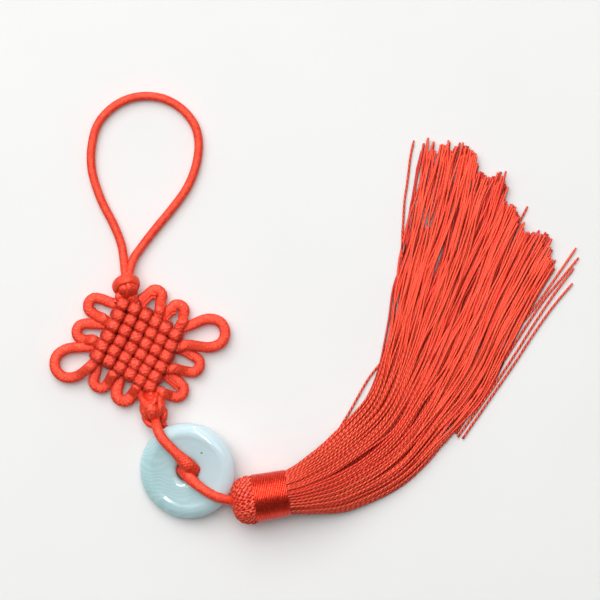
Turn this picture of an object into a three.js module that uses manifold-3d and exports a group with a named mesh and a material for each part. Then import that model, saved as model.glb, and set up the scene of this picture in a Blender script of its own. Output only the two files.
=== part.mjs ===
// Knotted cord ornament lying flat: a woven square knot with ten ears between two button knots,
// a hanging loop above, a glass ring below, and a bound tassel fanned out to the side.
// Millimetres, +Z up, +Y toward the hanging loop, resting on z = 0.
import * as THREE from "three";
import Module from "manifold-3d";

const wasm = await Module();
wasm.setup();

// Place of the whole object: plan shift that centres its box on the origin.
const SHIFT_X = 2.2;
const SHIFT_Y = 0.5;

// Woven body: six rows crossing six columns, each a doubled line of flattened cord.
const WEAVE = 6;
const WEAVE_X = -54.7;
const WEAVE_Y = -4.5;
const ROW_TURN = THREE.MathUtils.degToRad(-30.7);
const COLUMN_TURN = THREE.MathUtils.degToRad(-116.1);
const ALONG_ROW_PITCH = 3.75;
const ALONG_COLUMN_PITCH = 3.57;
const LAYER = 1.75;
const LINE_WIDTH = 3.2;
const LINE_THICK = 1.45;
const BODY_MID = 1.5 * LAYER + LINE_THICK / 2;
const PLATEAU = 0.95;

// Ears and legs: the same cord, rounder once it is clear of the weave.
const EAR_WIDTH = 3.3;
const EAR_THICK = 2.4;
const EAR_Z = 2.1;
const EAR_STEP = 2.55;
const LEAD_WIDTH = 2.9;
const LEAD_THICK = 2.0;
const CURVE_PARTS = 400;

// Button knots.
const TOP_BUTTON = { x: -58.6, y: 14.0, z: 3.9, rx: 4.1, ry: 3.8, rz: 3.9, turn: 0 };
const LOW_BUTTON = { x: -49.9, y: -24.1, z: 4.3, rx: 4.0, ry: 4.5, rz: 4.3, turn: 12 };
const BUTTON_CORE = 0.84;
const BUTTON_RADIUS = 4.0;
const LOBE_WIDTH = 3.2;
const LOBE_THICK = 1.5;
const LOBE_STEPS = 7;
const LOBE_END = { narrow: 0.7, sink: 0.86 };
const CUT_TAIL = {
  from: [-47.6, -27.0, 3.4], to: [-46.2, -28.9, 3.3], across: [0.8, 0.6, 0], width: 2.6, thick: 1.5,
};

// Round cords.
const HANGING_CORD = 2.5;
const LINK_CORD = 2.6;
const CORD_SIDES = 8;
const HANGING_STEP = 5.0;
const LINK_STEP = 2.1;

// Glass ring: tipped, one edge low.
const RING = { x: -39.2, y: -43.1, z: 5.35, low: 220, tip: 12 };
const RING_STEPS = 36;

// Tassel head: lies along its axis, a little squashed, tied by the binding.
const HEAD = { x: -18.8, y: -51.7, z: 6.75, turn: 10.3, squash: 0.95 };
const BINDING_GAP = 0.3;
const HEAD_SIDES = 24;

// Skirt of the tassel.
const STRANDS = 108;
const STRAND_STEPS = 7;
const STRAND_RADIUS = 0.4;
const STRAND_SPREAD = 1.15;
const UNEVEN_ENDS = 0.05;
const UNEVEN_STEP = 3.7;
const ROOT_DEPTH = 1.2;
const FLOOR_GAP = 0.03;
const BULGE_SKEW = 0.45;
const SCATTER_SPARE = 1.35;
const SCATTER_PHASE = 0.31;
const GOLDEN = (Math.sqrt(5) - 1) / 2;

const RED = { color: 0xd9331f, roughness: 0.55, metalness: 0 };
const AQUA = { color: 0xbfe0e4, roughness: 0.08, metalness: 0 };

const v3 = (x, y, z) => new THREE.Vector3(x, y, z);
const UP = v3(0, 0, 1);
const deg = THREE.MathUtils.degToRad;
const lerp = THREE.MathUtils.lerp;
const flat = (angle) => v3(Math.cos(angle), Math.sin(angle), 0);

function toManifold(positions, triangles) {
  return new wasm.Manifold(new wasm.Mesh({
    numProp: 3,
    vertProperties: new Float32Array(positions),
    triVerts: new Uint32Array(triangles),
  }));
}

// Skin over rings of equal count, capped at both ends.
function skin(rings) {
  const count = rings[0].length;
  const positions = [];
  const triangles = [];
  rings.forEach((ring) => ring.forEach((p) => positions.push(p.x, p.y, p.z)));
  for (let k = 0; k + 1 < rings.length; k += 1) {
    for (let i = 0; i < count; i += 1) {
      const a = k * count + i;
      const b = k * count + ((i + 1) % count);
      triangles.push(a, b, b + count, a, b + count, a + count);
    }
  }
  const last = (rings.length - 1) * count;
  for (let i = 1; i + 1 < count; i += 1) {
    triangles.push(0, i + 1, i, last, last + i, last + i + 1);
  }
  return toManifold(positions, triangles);
}

// Flattened cord through stations { at, across, width, thick }.
function flattenedCord(stations, sides = 6) {
  const rings = stations.map((s, k) => {
    const before = stations[Math.max(0, k - 1)].at;
    const after = stations[Math.min(stations.length - 1, k + 1)].at;
    const along = after.clone().sub(before).normalize();
    const across = s.across.clone().addScaledVector(along, -s.across.dot(along)).normalize();
    const out = across.clone().cross(along);
    const crown = s.thick / 2 / Math.sin(Math.PI / 3);
    return Array.from({ length: sides }, (_, i) => {
      const a = (2 * Math.PI * i) / sides;
      return s.at.clone()
        .addScaledVector(across, -(s.width / 2) * Math.cos(a))
        .addScaledVector(out, crown * Math.sin(a));
    });
  });
  return skin(rings);
}

function join(solids) {
  return solids.reduce((sum, next) => sum.add(next));
}

function meshOf(name, solid, look) {
  const mesh = solid.getMesh();
  const geometry = new THREE.BufferGeometry();
  geometry.setAttribute("position", new THREE.BufferAttribute(
    Float32Array.from(mesh.vertProperties), 3));
  geometry.setIndex(new THREE.BufferAttribute(Uint32Array.from(mesh.triVerts), 1));
  geometry.translate(SHIFT_X, SHIFT_Y, 0);
  const faceted = geometry.toNonIndexed();
  faceted.computeVertexNormals();
  const node = new THREE.Mesh(faceted, new THREE.MeshStandardMaterial(look));
  node.name = name;
  return node;
}

const ROW_DIR = flat(ROW_TURN);
const COLUMN_DIR = flat(COLUMN_TURN);
const MID = (WEAVE + 1) / 2;

function crossing(row, column) {
  return v3(WEAVE_X, WEAVE_Y, 0)
    .addScaledVector(ROW_DIR, ALONG_ROW_PITCH * (column - MID))
    .addScaledVector(COLUMN_DIR, ALONG_COLUMN_PITCH * (row - MID));
}

// A doubled line: where its legs leave, which way it runs inward, and its pitch.
function bight(kind, number) {
  const isRow = kind === "row";
  const odd = number % 2 === 1;
  const first = isRow === odd ? 1 : WEAVE;
  const leg = isRow ? crossing(number, first) : crossing(first, number);
  const inward = (isRow ? ROW_DIR : COLUMN_DIR).clone().multiplyScalar(first === 1 ? 1 : -1);
  const pitch = isRow ? ALONG_ROW_PITCH : ALONG_COLUMN_PITCH;
  return { leg, inward, pitch };
}

// The turn at the far end of a bight: reach past the last crossing and height in layers.
const TURN = [
  { reach: 1.65, lift: 0.95 },
  { reach: 1.9, lift: 0 },
  { reach: 1.65, lift: -0.95 },
];

// How a leg leaves the weave: distance out, height in layers, thickness.
const LEG = [
  { out: 3.5, lift: 0.86, thick: 2.3, width: 3.25 },
  { out: 2.3, lift: 0.62, thick: 1.7, width: 3.2 },
];

// In along the upper line, round the far end, and back along the lower line.
function bightStations(kind, number, sign) {
  const { leg, inward, pitch } = bight(kind, number);
  const across = UP.clone().cross(inward).multiplyScalar(sign);
  const spot = (x, lift, width = LINE_WIDTH, thick = LINE_THICK) => ({
    at: leg.clone().addScaledVector(inward, x).setZ(BODY_MID + lift * LAYER),
    across, width, thick,
  });
  const upper = LEG.map((l) => spot(-l.out, l.lift, l.width, l.thick));
  for (let k = 0; k < WEAVE; k += 1) {
    const lift = k % 2 === 0 ? 0.5 : 1.5;
    upper.push(spot(k * pitch - PLATEAU, lift), spot(k * pitch + PLATEAU, lift));
  }
  const lower = upper.map((s) => ({ ...s, at: s.at.clone().setZ(2 * BODY_MID - s.at.z) }));
  const end = (WEAVE - 1) * pitch;
  const turn = TURN.map((t) => spot(end + t.reach, t.lift));
  return [...upper, ...turn, ...lower.reverse()];
}

// Ears: middle of the bow and its radius, and where its two legs leave the weave.
const EARS = {
  upperLeft1: { x: -67.6, y: 7.7, r: 2.6, start: [-62.4, 8.4], finish: [-65.3, 3.8] },
  upperLeft2: { x: -71.2, y: -0.3, r: 2.55, start: [-66.8, 2.1], finish: [-68.5, -2.7] },
  left: { x: -76.1, y: -10.1, r: 4.5, start: [-70.1, -4.8], finish: [-69.5, -11.0] },
  lowerLeft1: { x: -66.3, y: -15.2, r: 2.3, start: [-67.7, -12.4], finish: [-62.4, -13.4] },
  lowerLeft2: { x: -58.9, y: -19.0, r: 2.5, start: [-60.1, -14.7], finish: [-55.0, -17.3] },
  upperRight1: { x: -49.4, y: 10.8, r: 2.2, start: [-54.1, 9.4], finish: [-47.9, 6.7] },
  upperRight2: { x: -42.5, y: 6.3, r: 2.2, start: [-46.1, 5.3], finish: [-40.8, 3.1] },
  right: { x: -32.1, y: -0.6, r: 4.4, start: [-38.4, 1.8], finish: [-40.0, -4.3] },
  lowerRight1: { x: -38.2, y: -10.1, r: 2.6, start: [-40.0, -6.3], finish: [-43.6, -11.6] },
  lowerRight2: { x: -42.9, y: -18.1, r: 2.4, start: [-44.4, -13.7], finish: [-46.9, -19.2] },
};
const INNER_LEG_SHARE = 0.4;

// Each strand, from the upper button knot to the lower one.
const STRAND_A = [
  ["row", 1, "upperLeft1"], ["row", 3, "upperLeft2"], ["row", 5, "left"],
  ["column", 1, "lowerLeft1"], ["column", 3, "lowerLeft2"], ["column", 5, null],
];
const STRAND_B = [
  ["column", 2, "upperRight1"], ["column", 4, "upperRight2"], ["column", 6, "right"],
  ["row", 2, "lowerRight1"], ["row", 4, "lowerRight2"], ["row", 6, null],
];

// Five points round the bow, between the two leg ends.
const BOW = [[-1, -0.1], [-0.72, 0.69], [0, 1], [0.72, 0.69], [1, -0.1]];

// Moves the end of a leg to a place in plan, and its next station part of the way.
function setLeg(outer, inner, [x, y]) {
  const shift = v3(x - outer.at.x, y - outer.at.y, 0);
  outer.at.add(shift);
  inner.at.addScaledVector(shift, INNER_LEG_SHARE);
}

function earStations(ear, start, finish, sign) {
  const middle = start.at.clone().add(finish.at).multiplyScalar(0.5).setZ(0);
  const centre = v3(ear.x, ear.y, 0);
  const out = centre.clone().sub(middle).normalize();
  const side = UP.clone().cross(out);
  if (side.dot(finish.at.clone().sub(start.at)) < 0) side.negate();
  const bow = BOW.map(([a, b]) => centre.clone()
    .addScaledVector(side, a * ear.r).addScaledVector(out, b * ear.r).setZ(EAR_Z));
  const curve = new THREE.CatmullRomCurve3(
    [start.before, start.at, ...bow, finish.at, finish.after], false, "centripetal");
  return spaced(curve, start.at, finish.at, EAR_STEP).map((p) => ({
    at: p.at, across: UP.clone().cross(p.along).setZ(0).normalize().multiplyScalar(sign),
    width: EAR_WIDTH, thick: EAR_THICK,
  }));
}

// Evenly spaced points strictly between two points of a curve.
function spaced(curve, from, to, step) {
  const fine = curve.getSpacedPoints(CURVE_PARTS);
  const nearest = (p) => fine.reduce((best, q, i) => (
    q.distanceTo(p) < fine[best].distanceTo(p) ? i : best), 0);
  const [a, b] = [nearest(from), nearest(to)];
  const count = Math.round(((b - a) / CURVE_PARTS) * curve.getLength() / step);
  return Array.from({ length: count - 1 }, (_, k) => {
    const t = (a + ((b - a) * (k + 1)) / count) / CURVE_PARTS;
    return { at: curve.getPointAt(t), along: curve.getTangentAt(t) };
  });
}

// Run of one strand, its flat side kept continuous round every turn.
function strandStations(route, head, tail) {
  const stations = [];
  let sign = 1;
  const bights = route.map(([kind, number]) => {
    const run = bightStations(kind, number, sign);
    sign *= -1;
    return run;
  });
  sign = 1;
  bights[0].shift();
  bights[bights.length - 1].pop();
  const tailEnd = bights[bights.length - 1][bights[bights.length - 1].length - 1];
  bights[0][0].at.setX(head.leg[0]).setY(head.leg[1]);
  tailEnd.at.setX(tail.leg[0]).setY(tail.leg[1]);
  route.forEach(([, , ear], k) => {
    if (!ear) return;
    const run = bights[k];
    setLeg(run[run.length - 1], run[run.length - 2], EARS[ear].start);
    setLeg(bights[k + 1][0], bights[k + 1][1], EARS[ear].finish);
  });
  stations.push(...lead(head.points, bights[0][0], sign));
  route.forEach(([, , ear], k) => {
    const run = bights[k];
    stations.push(...run);
    sign *= -1;
    if (!ear) return;
    const last = run[run.length - 1];
    const next = bights[k + 1];
    stations.push(...earStations(EARS[ear],
      { before: run[run.length - 3].at, at: last.at },
      { at: next[0].at, after: next[2].at }, sign));
  });
  const end = stations[stations.length - 1];
  stations.push(...lead(tail.points, end, -sign).reverse());
  return stations;
}

// Short run between a button knot and the first leg, listed from the knot outward.
function lead(points, beside, sign) {
  const path = points.map((p) => v3(...p));
  return path.map((at, k) => {
    const next = path[k + 1] ?? beside.at;
    const along = next.clone().sub(at).setZ(0).normalize();
    const across = UP.clone().cross(along).multiplyScalar(sign);
    return { at, across, width: LEAD_WIDTH, thick: LEAD_THICK };
  });
}

// Runs between the button knots and the weave, and where each meets its leg.
const LEADS = {
  aTop: { points: [[-60.2, 12.6, 4.4], [-61.0, 11.3, 4.8]], leg: [-60.4, 9.7] },
  bTop: { points: [[-56.9, 12.2, 4.4]], leg: [-55.7, 8.9] },
  aLow: { points: [[-52.4, -21.6, 3.8]], leg: [-54.0, -17.8] },
  bLow: { points: [[-48.6, -21.6, 3.8]], leg: [-49.0, -18.9] },
};

// Button knot: a rounded core with broad lobes of cord lying over it.
// Each lobe is an arc: turn of its plane, lean of its plane, start and sweep along it.
const TOP_LOBES = [
  { turn: 24, lean: 62, start: 150, sweep: -250 },
  { turn: 96, lean: 12, start: 215, sweep: -200 },
  { turn: 60, lean: -34, start: 200, sweep: -200 },
];
const LOW_LOBES = [
  { turn: 70, lean: 10, start: 200, sweep: -210 },
  { turn: 128, lean: -30, start: 200, sweep: -200 },
  { turn: 20, lean: 58, start: 150, sweep: -220 },
];

function buttonKnot(knot, lobes) {
  const core = new THREE.SphereGeometry(1, 10, 6);
  const turn = deg(knot.turn);
  const place = (p) => v3(p.x * knot.rx, p.y * knot.ry, p.z * knot.rz)
    .applyAxisAngle(UP, turn).add(v3(knot.x, knot.y, knot.z));
  const parts = [solidSphere(core, (p) => place(p.multiplyScalar(BUTTON_CORE)))];
  lobes.forEach((lobe) => {
    const normal = v3(Math.sin(deg(lobe.lean)), 0, Math.cos(deg(lobe.lean)))
      .applyAxisAngle(UP, deg(lobe.turn));
    const first = flat(deg(lobe.turn + 90));
    const second = normal.clone().cross(first).normalize();
    const stations = Array.from({ length: LOBE_STEPS + 1 }, (_, k) => {
      const a = deg(lobe.start + (lobe.sweep * k) / LOBE_STEPS);
      const unit = first.clone().multiplyScalar(Math.cos(a))
        .addScaledVector(second, Math.sin(a));
      const inset = 1 - LOBE_THICK / 2 / BUTTON_RADIUS;
      const isEnd = k === 0 || k === LOBE_STEPS;
      const fade = isEnd ? LOBE_END.narrow : 1;
      return {
        at: place(unit.multiplyScalar(inset * (isEnd ? LOBE_END.sink : 1))),
        across: normal.clone().applyAxisAngle(UP, turn),
        width: LOBE_WIDTH * fade, thick: LOBE_THICK * fade,
      };
    });
    parts.push(flattenedCord(stations));
  });
  return join(parts);
}

function solidSphere(geometry, place) {
  const { position } = geometry.attributes;
  const keys = new Map();
  const points = [];
  const slot = Array.from({ length: position.count }, (_, i) => {
    const p = v3().fromBufferAttribute(position, i);
    const key = p.toArray().map((c) => c.toFixed(4).replace("-0.0000", "0.0000")).join();
    if (!keys.has(key)) {
      keys.set(key, points.length / 3);
      points.push(...place(p).toArray());
    }
    return keys.get(key);
  });
  const index = [...geometry.index.array].map((i) => slot[i]);
  const triangles = [];
  for (let i = 0; i < index.length; i += 3) {
    const [a, b, c] = index.slice(i, i + 3);
    if (a !== b && b !== c && a !== c) triangles.push(a, b, c);
  }
  return toManifold(points, triangles);
}

function cutTail() {
  const { from, to, across, width, thick } = CUT_TAIL;
  return flattenedCord([from, to].map((at) => (
    { at: v3(...at), across: v3(...across), width, thick })));
}

function panChangKnot() {
  const strandA = flattenedCord(strandStations(STRAND_A, LEADS.aTop, LEADS.aLow));
  const strandB = flattenedCord(strandStations(STRAND_B, LEADS.bTop, LEADS.bLow));
  return join([strandA, strandB, buttonKnot(TOP_BUTTON, TOP_LOBES),
    buttonKnot(LOW_BUTTON, LOW_LOBES), cutTail()]);
}

// Centreline of the hanging loop, from the left of the upper button knot round to its right.
const HANGING = [
  { x: -59.7, y: 18.3, z: 3.7 }, { x: -59.5, y: 20.0, z: 3.0 }, { x: -59.3, y: 23.4, z: 1.9 },
  { x: -61.6, y: 31.3, z: 1.35 }, { x: -66.2, y: 40.6, z: 1.3 }, { x: -69.1, y: 49.9, z: 1.3 },
  { x: -69.2, y: 57.0, z: 1.3 }, { x: -67.4, y: 63.9, z: 1.3 }, { x: -63.4, y: 68.8, z: 1.3 },
  { x: -58.1, y: 71.9, z: 1.3 }, { x: -52.2, y: 72.9, z: 1.3 }, { x: -46.3, y: 71.9, z: 1.3 },
  { x: -41.1, y: 68.8, z: 1.3 }, { x: -37.4, y: 64.2, z: 1.3 }, { x: -36.0, y: 59.2, z: 1.3 },
  { x: -36.6, y: 52.2, z: 1.3 }, { x: -39.5, y: 44.6, z: 1.3 }, { x: -45.3, y: 36.6, z: 1.3 },
  { x: -51.8, y: 28.2, z: 1.45 }, { x: -55.4, y: 22.6, z: 2.0 }, { x: -56.6, y: 20.0, z: 3.0 },
  { x: -56.9, y: 18.3, z: 3.7 },
];

// Loop from the lower button knot over the ring, down its hole and back underneath.
const RING_LOOP = [
  { x: -48.7, y: -29.4, z: 7.8 }, { x: -47.4, y: -32.0, z: 9.3 }, { x: -45.3, y: -35.6, z: 9.8 },
  { x: -41.5, y: -39.9, z: 9.5 }, { x: -38.7, y: -42.4, z: 8.9 }, { x: -37.6, y: -43.1, z: 6.9 },
  { x: -37.5, y: -43.1, z: 4.2 }, { x: -38.0, y: -42.3, z: 2.2 }, { x: -40.2, y: -39.9, z: 1.45 },
  { x: -44.4, y: -35.2, z: 1.45 }, { x: -46.6, y: -32.0, z: 1.6 }, { x: -47.6, y: -29.8, z: 2.1 },
];

// Loop from the tassel head over the ring, down its hole and back underneath.
const HEAD_LOOP = [
  { x: -26.2, y: -52.4, z: 8.6 }, { x: -28.6, y: -51.9, z: 9.5 }, { x: -32.6, y: -50.4, z: 9.8 },
  { x: -36.2, y: -48.3, z: 9.6 }, { x: -39.6, y: -45.6, z: 8.6 }, { x: -40.8, y: -43.8, z: 6.8 },
  { x: -40.8, y: -43.6, z: 4.2 }, { x: -40.3, y: -44.6, z: 2.2 }, { x: -37.6, y: -47.0, z: 1.45 },
  { x: -32.4, y: -50.4, z: 1.45 }, { x: -28.8, y: -51.9, z: 2.0 }, { x: -26.2, y: -52.7, z: 3.4 },
];

function roundCord(points, diameter, step) {
  const curve = new THREE.CatmullRomCurve3(
    points.map((p) => v3(p.x, p.y, p.z)), false, "centripetal");
  const section = new THREE.Shape();
  for (let i = 0; i < CORD_SIDES; i += 1) {
    const a = (2 * Math.PI * i) / CORD_SIDES;
    const [x, y] = [Math.cos(a) * diameter / 2, Math.sin(a) * diameter / 2];
    if (i === 0) section.moveTo(x, y);
    else section.lineTo(x, y);
  }
  section.closePath();
  return new THREE.ExtrudeGeometry(section, {
    steps: Math.round(curve.getLength() / step), extrudePath: curve, bevelEnabled: false,
  });
}

function cordNode(name, points, diameter, step) {
  const geometry = roundCord(points, diameter, step);
  geometry.translate(SHIFT_X, SHIFT_Y, 0);
  const node = new THREE.Mesh(geometry, new THREE.MeshStandardMaterial(RED));
  node.name = name;
  return node;
}

// Half section of the ring, outward and round: radius and height.
const RING_SECTION = [
  { r: 3.5, h: -0.7 }, { r: 4.1, h: -1.5 }, { r: 6.0, h: -1.85 }, { r: 11.2, h: -2.3 },
  { r: 13.6, h: -1.95 }, { r: 14.8, h: -0.9 }, { r: 15.0, h: 0 }, { r: 14.8, h: 0.9 },
  { r: 13.6, h: 1.95 }, { r: 11.2, h: 2.3 }, { r: 6.0, h: 1.85 }, { r: 4.1, h: 1.5 },
  { r: 3.5, h: 0.7 },
];

function glassRing() {
  const axis = flat(deg(RING.low - 90));
  const count = RING_SECTION.length;
  const positions = [];
  const triangles = [];
  for (let k = 0; k < RING_STEPS; k += 1) {
    const a = (2 * Math.PI * k) / RING_STEPS;
    RING_SECTION.forEach(({ r, h }) => {
      const p = v3(r * Math.cos(a), r * Math.sin(a), h)
        .applyAxisAngle(axis, -deg(RING.tip)).add(v3(RING.x, RING.y, RING.z));
      positions.push(p.x, p.y, p.z);
    });
    for (let i = 0; i < count; i += 1) {
      const next = ((k + 1) % RING_STEPS) * count;
      const [p, q] = [k * count + i, k * count + ((i + 1) % count)];
      const [s, t] = [next + i, next + ((i + 1) % count)];
      triangles.push(p, t, q, p, s, t);
    }
  }
  return toManifold(positions, triangles);
}

const HEAD_ALONG = flat(deg(HEAD.turn));
const HEAD_SIDE = flat(deg(HEAD.turn + 90));

// Round section of the head at a distance along its axis.
function headRing(along, radius, shift = 0) {
  return Array.from({ length: HEAD_SIDES }, (_, i) => {
    const a = (2 * Math.PI * (i + 0.5)) / HEAD_SIDES;
    return v3(HEAD.x, HEAD.y, HEAD.z)
      .addScaledVector(HEAD_ALONG, along)
      .addScaledVector(HEAD_SIDE, shift + radius * Math.cos(a))
      .addScaledVector(UP, radius * HEAD.squash * Math.sin(a));
  });
}

// Neck under the binding.
const NECK = [{ along: -0.3, radius: 6.35 }, { along: 11.3, radius: 6.0 }];

// Folded dome and neck: distance along the axis, radius and sideways sag.
const HEAD_PROFILE = [
  { along: -6.8, radius: 2.2, shift: -0.6 }, { along: -6.3, radius: 4.0, shift: -0.6 },
  { along: -5.0, radius: 5.9, shift: -0.5 }, { along: -3.2, radius: 7.0, shift: -0.3 },
  { along: -1.5, radius: 7.35, shift: -0.1 }, { along: -0.5, radius: 7.2, shift: 0 },
  { ...NECK[0], shift: 0 }, { ...NECK[1], shift: 0 }, { along: 12.0, radius: 5.9, shift: 0 },
];

// Outside of the binding.
const BINDING = [
  { along: 0, radius: 7.0 }, { along: 0.4, radius: 7.35 },
  { along: 10.7, radius: 7.1 }, { along: 11.1, radius: 6.85 },
];

function floorCut(solid) {
  return solid.trimByPlane([0, 0, 1], 0);
}

function binding() {
  const [from, to] = NECK;
  const bore = (along) => headRing(along,
    lerp(from.radius, to.radius, (along - from.along) / (to.along - from.along)) + BINDING_GAP);
  const outside = skin(BINDING.map((p) => headRing(p.along, p.radius)));
  const inside = skin([bore(BINDING[0].along - 1), bore(BINDING[BINDING.length - 1].along + 1)]);
  return floorCut(outside.subtract(inside));
}

// Skirt stations: fraction along, left edge, right edge, forward bulge, half height,
// and how far the section has settled from round to flat on the surface.
const SKIRT = [
  { f: 0.0, lx: -8.5, ly: -44.5, rx: -6.7, ry: -54.8, bulge: 0.0, half: 4.9, settle: 0.0 },
  { f: 0.06, lx: -4.6, ly: -40.0, rx: -0.2, ry: -57.2, bulge: 0.2, half: 4.5, settle: 0.2 },
  { f: 0.15, lx: 4.6, ly: -32.8, rx: 11.0, ry: -56.8, bulge: 0.6, half: 3.6, settle: 0.65 },
  { f: 0.3, lx: 15.9, ly: -19.6, rx: 28.4, ry: -49.6, bulge: 2.0, half: 2.7, settle: 1.0 },
  { f: 0.45, lx: 21.5, ly: -3.6, rx: 41.2, ry: -36.9, bulge: 3.6, half: 2.2, settle: 1.0 },
  { f: 0.6, lx: 24.4, ly: 13.2, rx: 51.4, ry: -22.4, bulge: 5.0, half: 1.9, settle: 1.0 },
  { f: 0.8, lx: 28.8, ly: 35.8, rx: 64.0, ry: -2.6, bulge: 6.8, half: 1.55, settle: 1.0 },
  { f: 1.0, lx: 30.9, ly: 58.8, rx: 80.8, ry: 18.4, bulge: 8.4, half: 1.2, settle: 1.0 },
];

const SKIRT_FIELDS = ["lx", "ly", "rx", "ry", "bulge", "half", "settle"];

function skirtAt(f) {
  let k = 0;
  while (k < SKIRT.length - 2 && SKIRT[k + 1].f < f) k += 1;
  const [a, b, c, d] = [SKIRT[Math.max(0, k - 1)], SKIRT[k], SKIRT[k + 1],
    SKIRT[Math.min(SKIRT.length - 1, k + 2)]];
  const span = c.f - b.f;
  const t = (f - b.f) / span;
  const out = {};
  SKIRT_FIELDS.forEach((name) => {
    const slopeB = a === b ? (c[name] - b[name]) / span : (c[name] - a[name]) / (c.f - a.f);
    const slopeC = c === d ? (c[name] - b[name]) / span : (d[name] - b[name]) / (d.f - b.f);
    const [t2, t3] = [t * t, t * t * t];
    out[name] = (2 * t3 - 3 * t2 + 1) * b[name] + (t3 - 2 * t2 + t) * span * slopeB
      + (3 * t2 - 2 * t3) * c[name] + (t3 - t2) * span * slopeC;
  });
  return out;
}

// Place of a strand in the skirt: u across, v through its depth, both within a unit circle.
function skirtPoint(u, v, f) {
  const s = skirtAt(f);
  const left = v3(s.lx, s.ly, 0);
  const right = v3(s.rx, s.ry, 0);
  const across = right.clone().sub(left);
  const forward = UP.clone().cross(across).normalize();
  const at = left.clone().addScaledVector(across, (1 + u) / 2)
    .addScaledVector(forward, s.bulge * (1 - u * u) * (1 - BULGE_SKEW * u));
  const rim = Math.sqrt(Math.max(0, 1 - u * u));
  const floor = STRAND_RADIUS / 2 + FLOOR_GAP;
  const settled = floor + s.half * (v + rim);
  const high = lerp(HEAD.z, floor + s.half, s.settle) + v * s.half;
  return at.setZ(lerp(high, settled, s.settle));
}

// Even, stretch-proof scatter over the unit circle.
function scatter(count) {
  const total = Math.ceil(count * SCATTER_SPARE);
  const spots = [];
  for (let i = 0; i < total; i += 1) {
    const u = (2 * (i + 0.5)) / total - 1;
    const v = 2 * ((i * GOLDEN + SCATTER_PHASE) % 1) - 1;
    if (u * u + v * v < 1) spots.push({ u, v });
  }
  return spots;
}

function strand({ u, v }, index) {
  const reach = 1 - UNEVEN_ENDS * ((index * GOLDEN * UNEVEN_STEP) % 1);
  const points = [];
  for (let k = 0; k <= STRAND_STEPS; k += 1) {
    points.push(skirtPoint(u, v, reach * (k / STRAND_STEPS) ** STRAND_SPREAD));
  }
  const first = points[0].clone().addScaledVector(HEAD_ALONG, -ROOT_DEPTH);
  const path = [first, ...points];
  const rings = path.map((at, k) => {
    const before = path[Math.max(0, k - 1)];
    const after = path[Math.min(path.length - 1, k + 1)];
    const along = after.clone().sub(before).normalize();
    const side = UP.clone().cross(along).normalize();
    const up = along.clone().cross(side);
    return [90, 210, 330].map((a) => at.clone()
      .addScaledVector(side, STRAND_RADIUS * Math.cos(deg(a)))
      .addScaledVector(up, STRAND_RADIUS * Math.sin(deg(a))));
  });
  return skin(rings);
}

function tassel() {
  const head = floorCut(skin(HEAD_PROFILE.map((p) => headRing(p.along, p.radius, p.shift))));
  const strands = scatter(STRANDS).map(strand);
  return join([head, ...strands]);
}

const group = new THREE.Group();
group.name = "knotted_tassel";
group.add(
  meshOf("pan_chang_knot", panChangKnot(), RED),
  cordNode("hanging_loop", HANGING, HANGING_CORD, HANGING_STEP),
  cordNode("ring_loop", RING_LOOP, LINK_CORD, LINK_STEP),
  meshOf("glass_ring", glassRing(), AQUA),
  cordNode("head_loop", HEAD_LOOP, LINK_CORD, LINK_STEP),
  meshOf("tassel", tassel(), RED),
  meshOf("tassel_binding", binding(), RED),
);

export default group;
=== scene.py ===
"""Red knotted cord ornament with a milky glass ring and a fanned tassel, lying on a pale floor.

Sizes in the tables are millimetres in the ornament's own plan, and become metres in the meshes.
"""
import math
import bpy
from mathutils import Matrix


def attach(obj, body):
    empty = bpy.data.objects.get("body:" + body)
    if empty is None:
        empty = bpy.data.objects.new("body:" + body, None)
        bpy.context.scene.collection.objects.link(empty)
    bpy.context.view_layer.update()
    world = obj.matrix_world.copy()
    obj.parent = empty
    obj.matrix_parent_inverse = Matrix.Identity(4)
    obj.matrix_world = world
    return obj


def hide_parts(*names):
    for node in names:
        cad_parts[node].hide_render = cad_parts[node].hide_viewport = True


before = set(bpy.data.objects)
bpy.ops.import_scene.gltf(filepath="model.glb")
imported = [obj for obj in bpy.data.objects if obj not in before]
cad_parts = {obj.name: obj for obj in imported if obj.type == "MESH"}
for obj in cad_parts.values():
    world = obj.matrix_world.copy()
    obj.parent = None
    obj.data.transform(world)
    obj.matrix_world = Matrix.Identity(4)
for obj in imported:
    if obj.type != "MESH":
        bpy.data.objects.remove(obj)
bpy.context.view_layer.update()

from types import SimpleNamespace

import bpy
import numpy as np

MM = 0.001
# From the plan of the tables to the frame's own origin.
PLAN_SHIFT = np.array([2.2, 0.5, 0.0])
UP = np.array([0.0, 0.0, 1.0])
GOLDEN = (math.sqrt(5) - 1) / 2
FULL_TURN = 2 * math.pi
CURVE_STEPS = 24


# Small helpers.

def table(columns, *rows):
    """Rows with named columns."""
    names = columns.split()
    return [SimpleNamespace(**dict(zip(names, row))) for row in rows]


def unit(v):
    return v / np.maximum(np.linalg.norm(v, axis=-1, keepdims=True), 1e-12)


def dot(a, b):
    return (a * b).sum(-1, keepdims=True)


def heading(degrees):
    a = math.radians(degrees)
    return np.array([math.cos(a), math.sin(a), 0.0])


def mix(a, b, t):
    return a + (b - a) * t


def smooth(low, high, x):
    t = np.clip((x - low) / (high - low), 0, 1)
    return t * t * (3 - 2 * t)


def hermite(t, low, high, low_slope, high_slope):
    """Smooth run from low to high as t goes from 0 to 1, with the slopes given at both ends."""
    return ((2 * t**3 - 3 * t**2 + 1) * low + (t**3 - 2 * t**2 + t) * low_slope
            + (3 * t**2 - 2 * t**3) * high + (t**3 - t**2) * high_slope)


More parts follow.
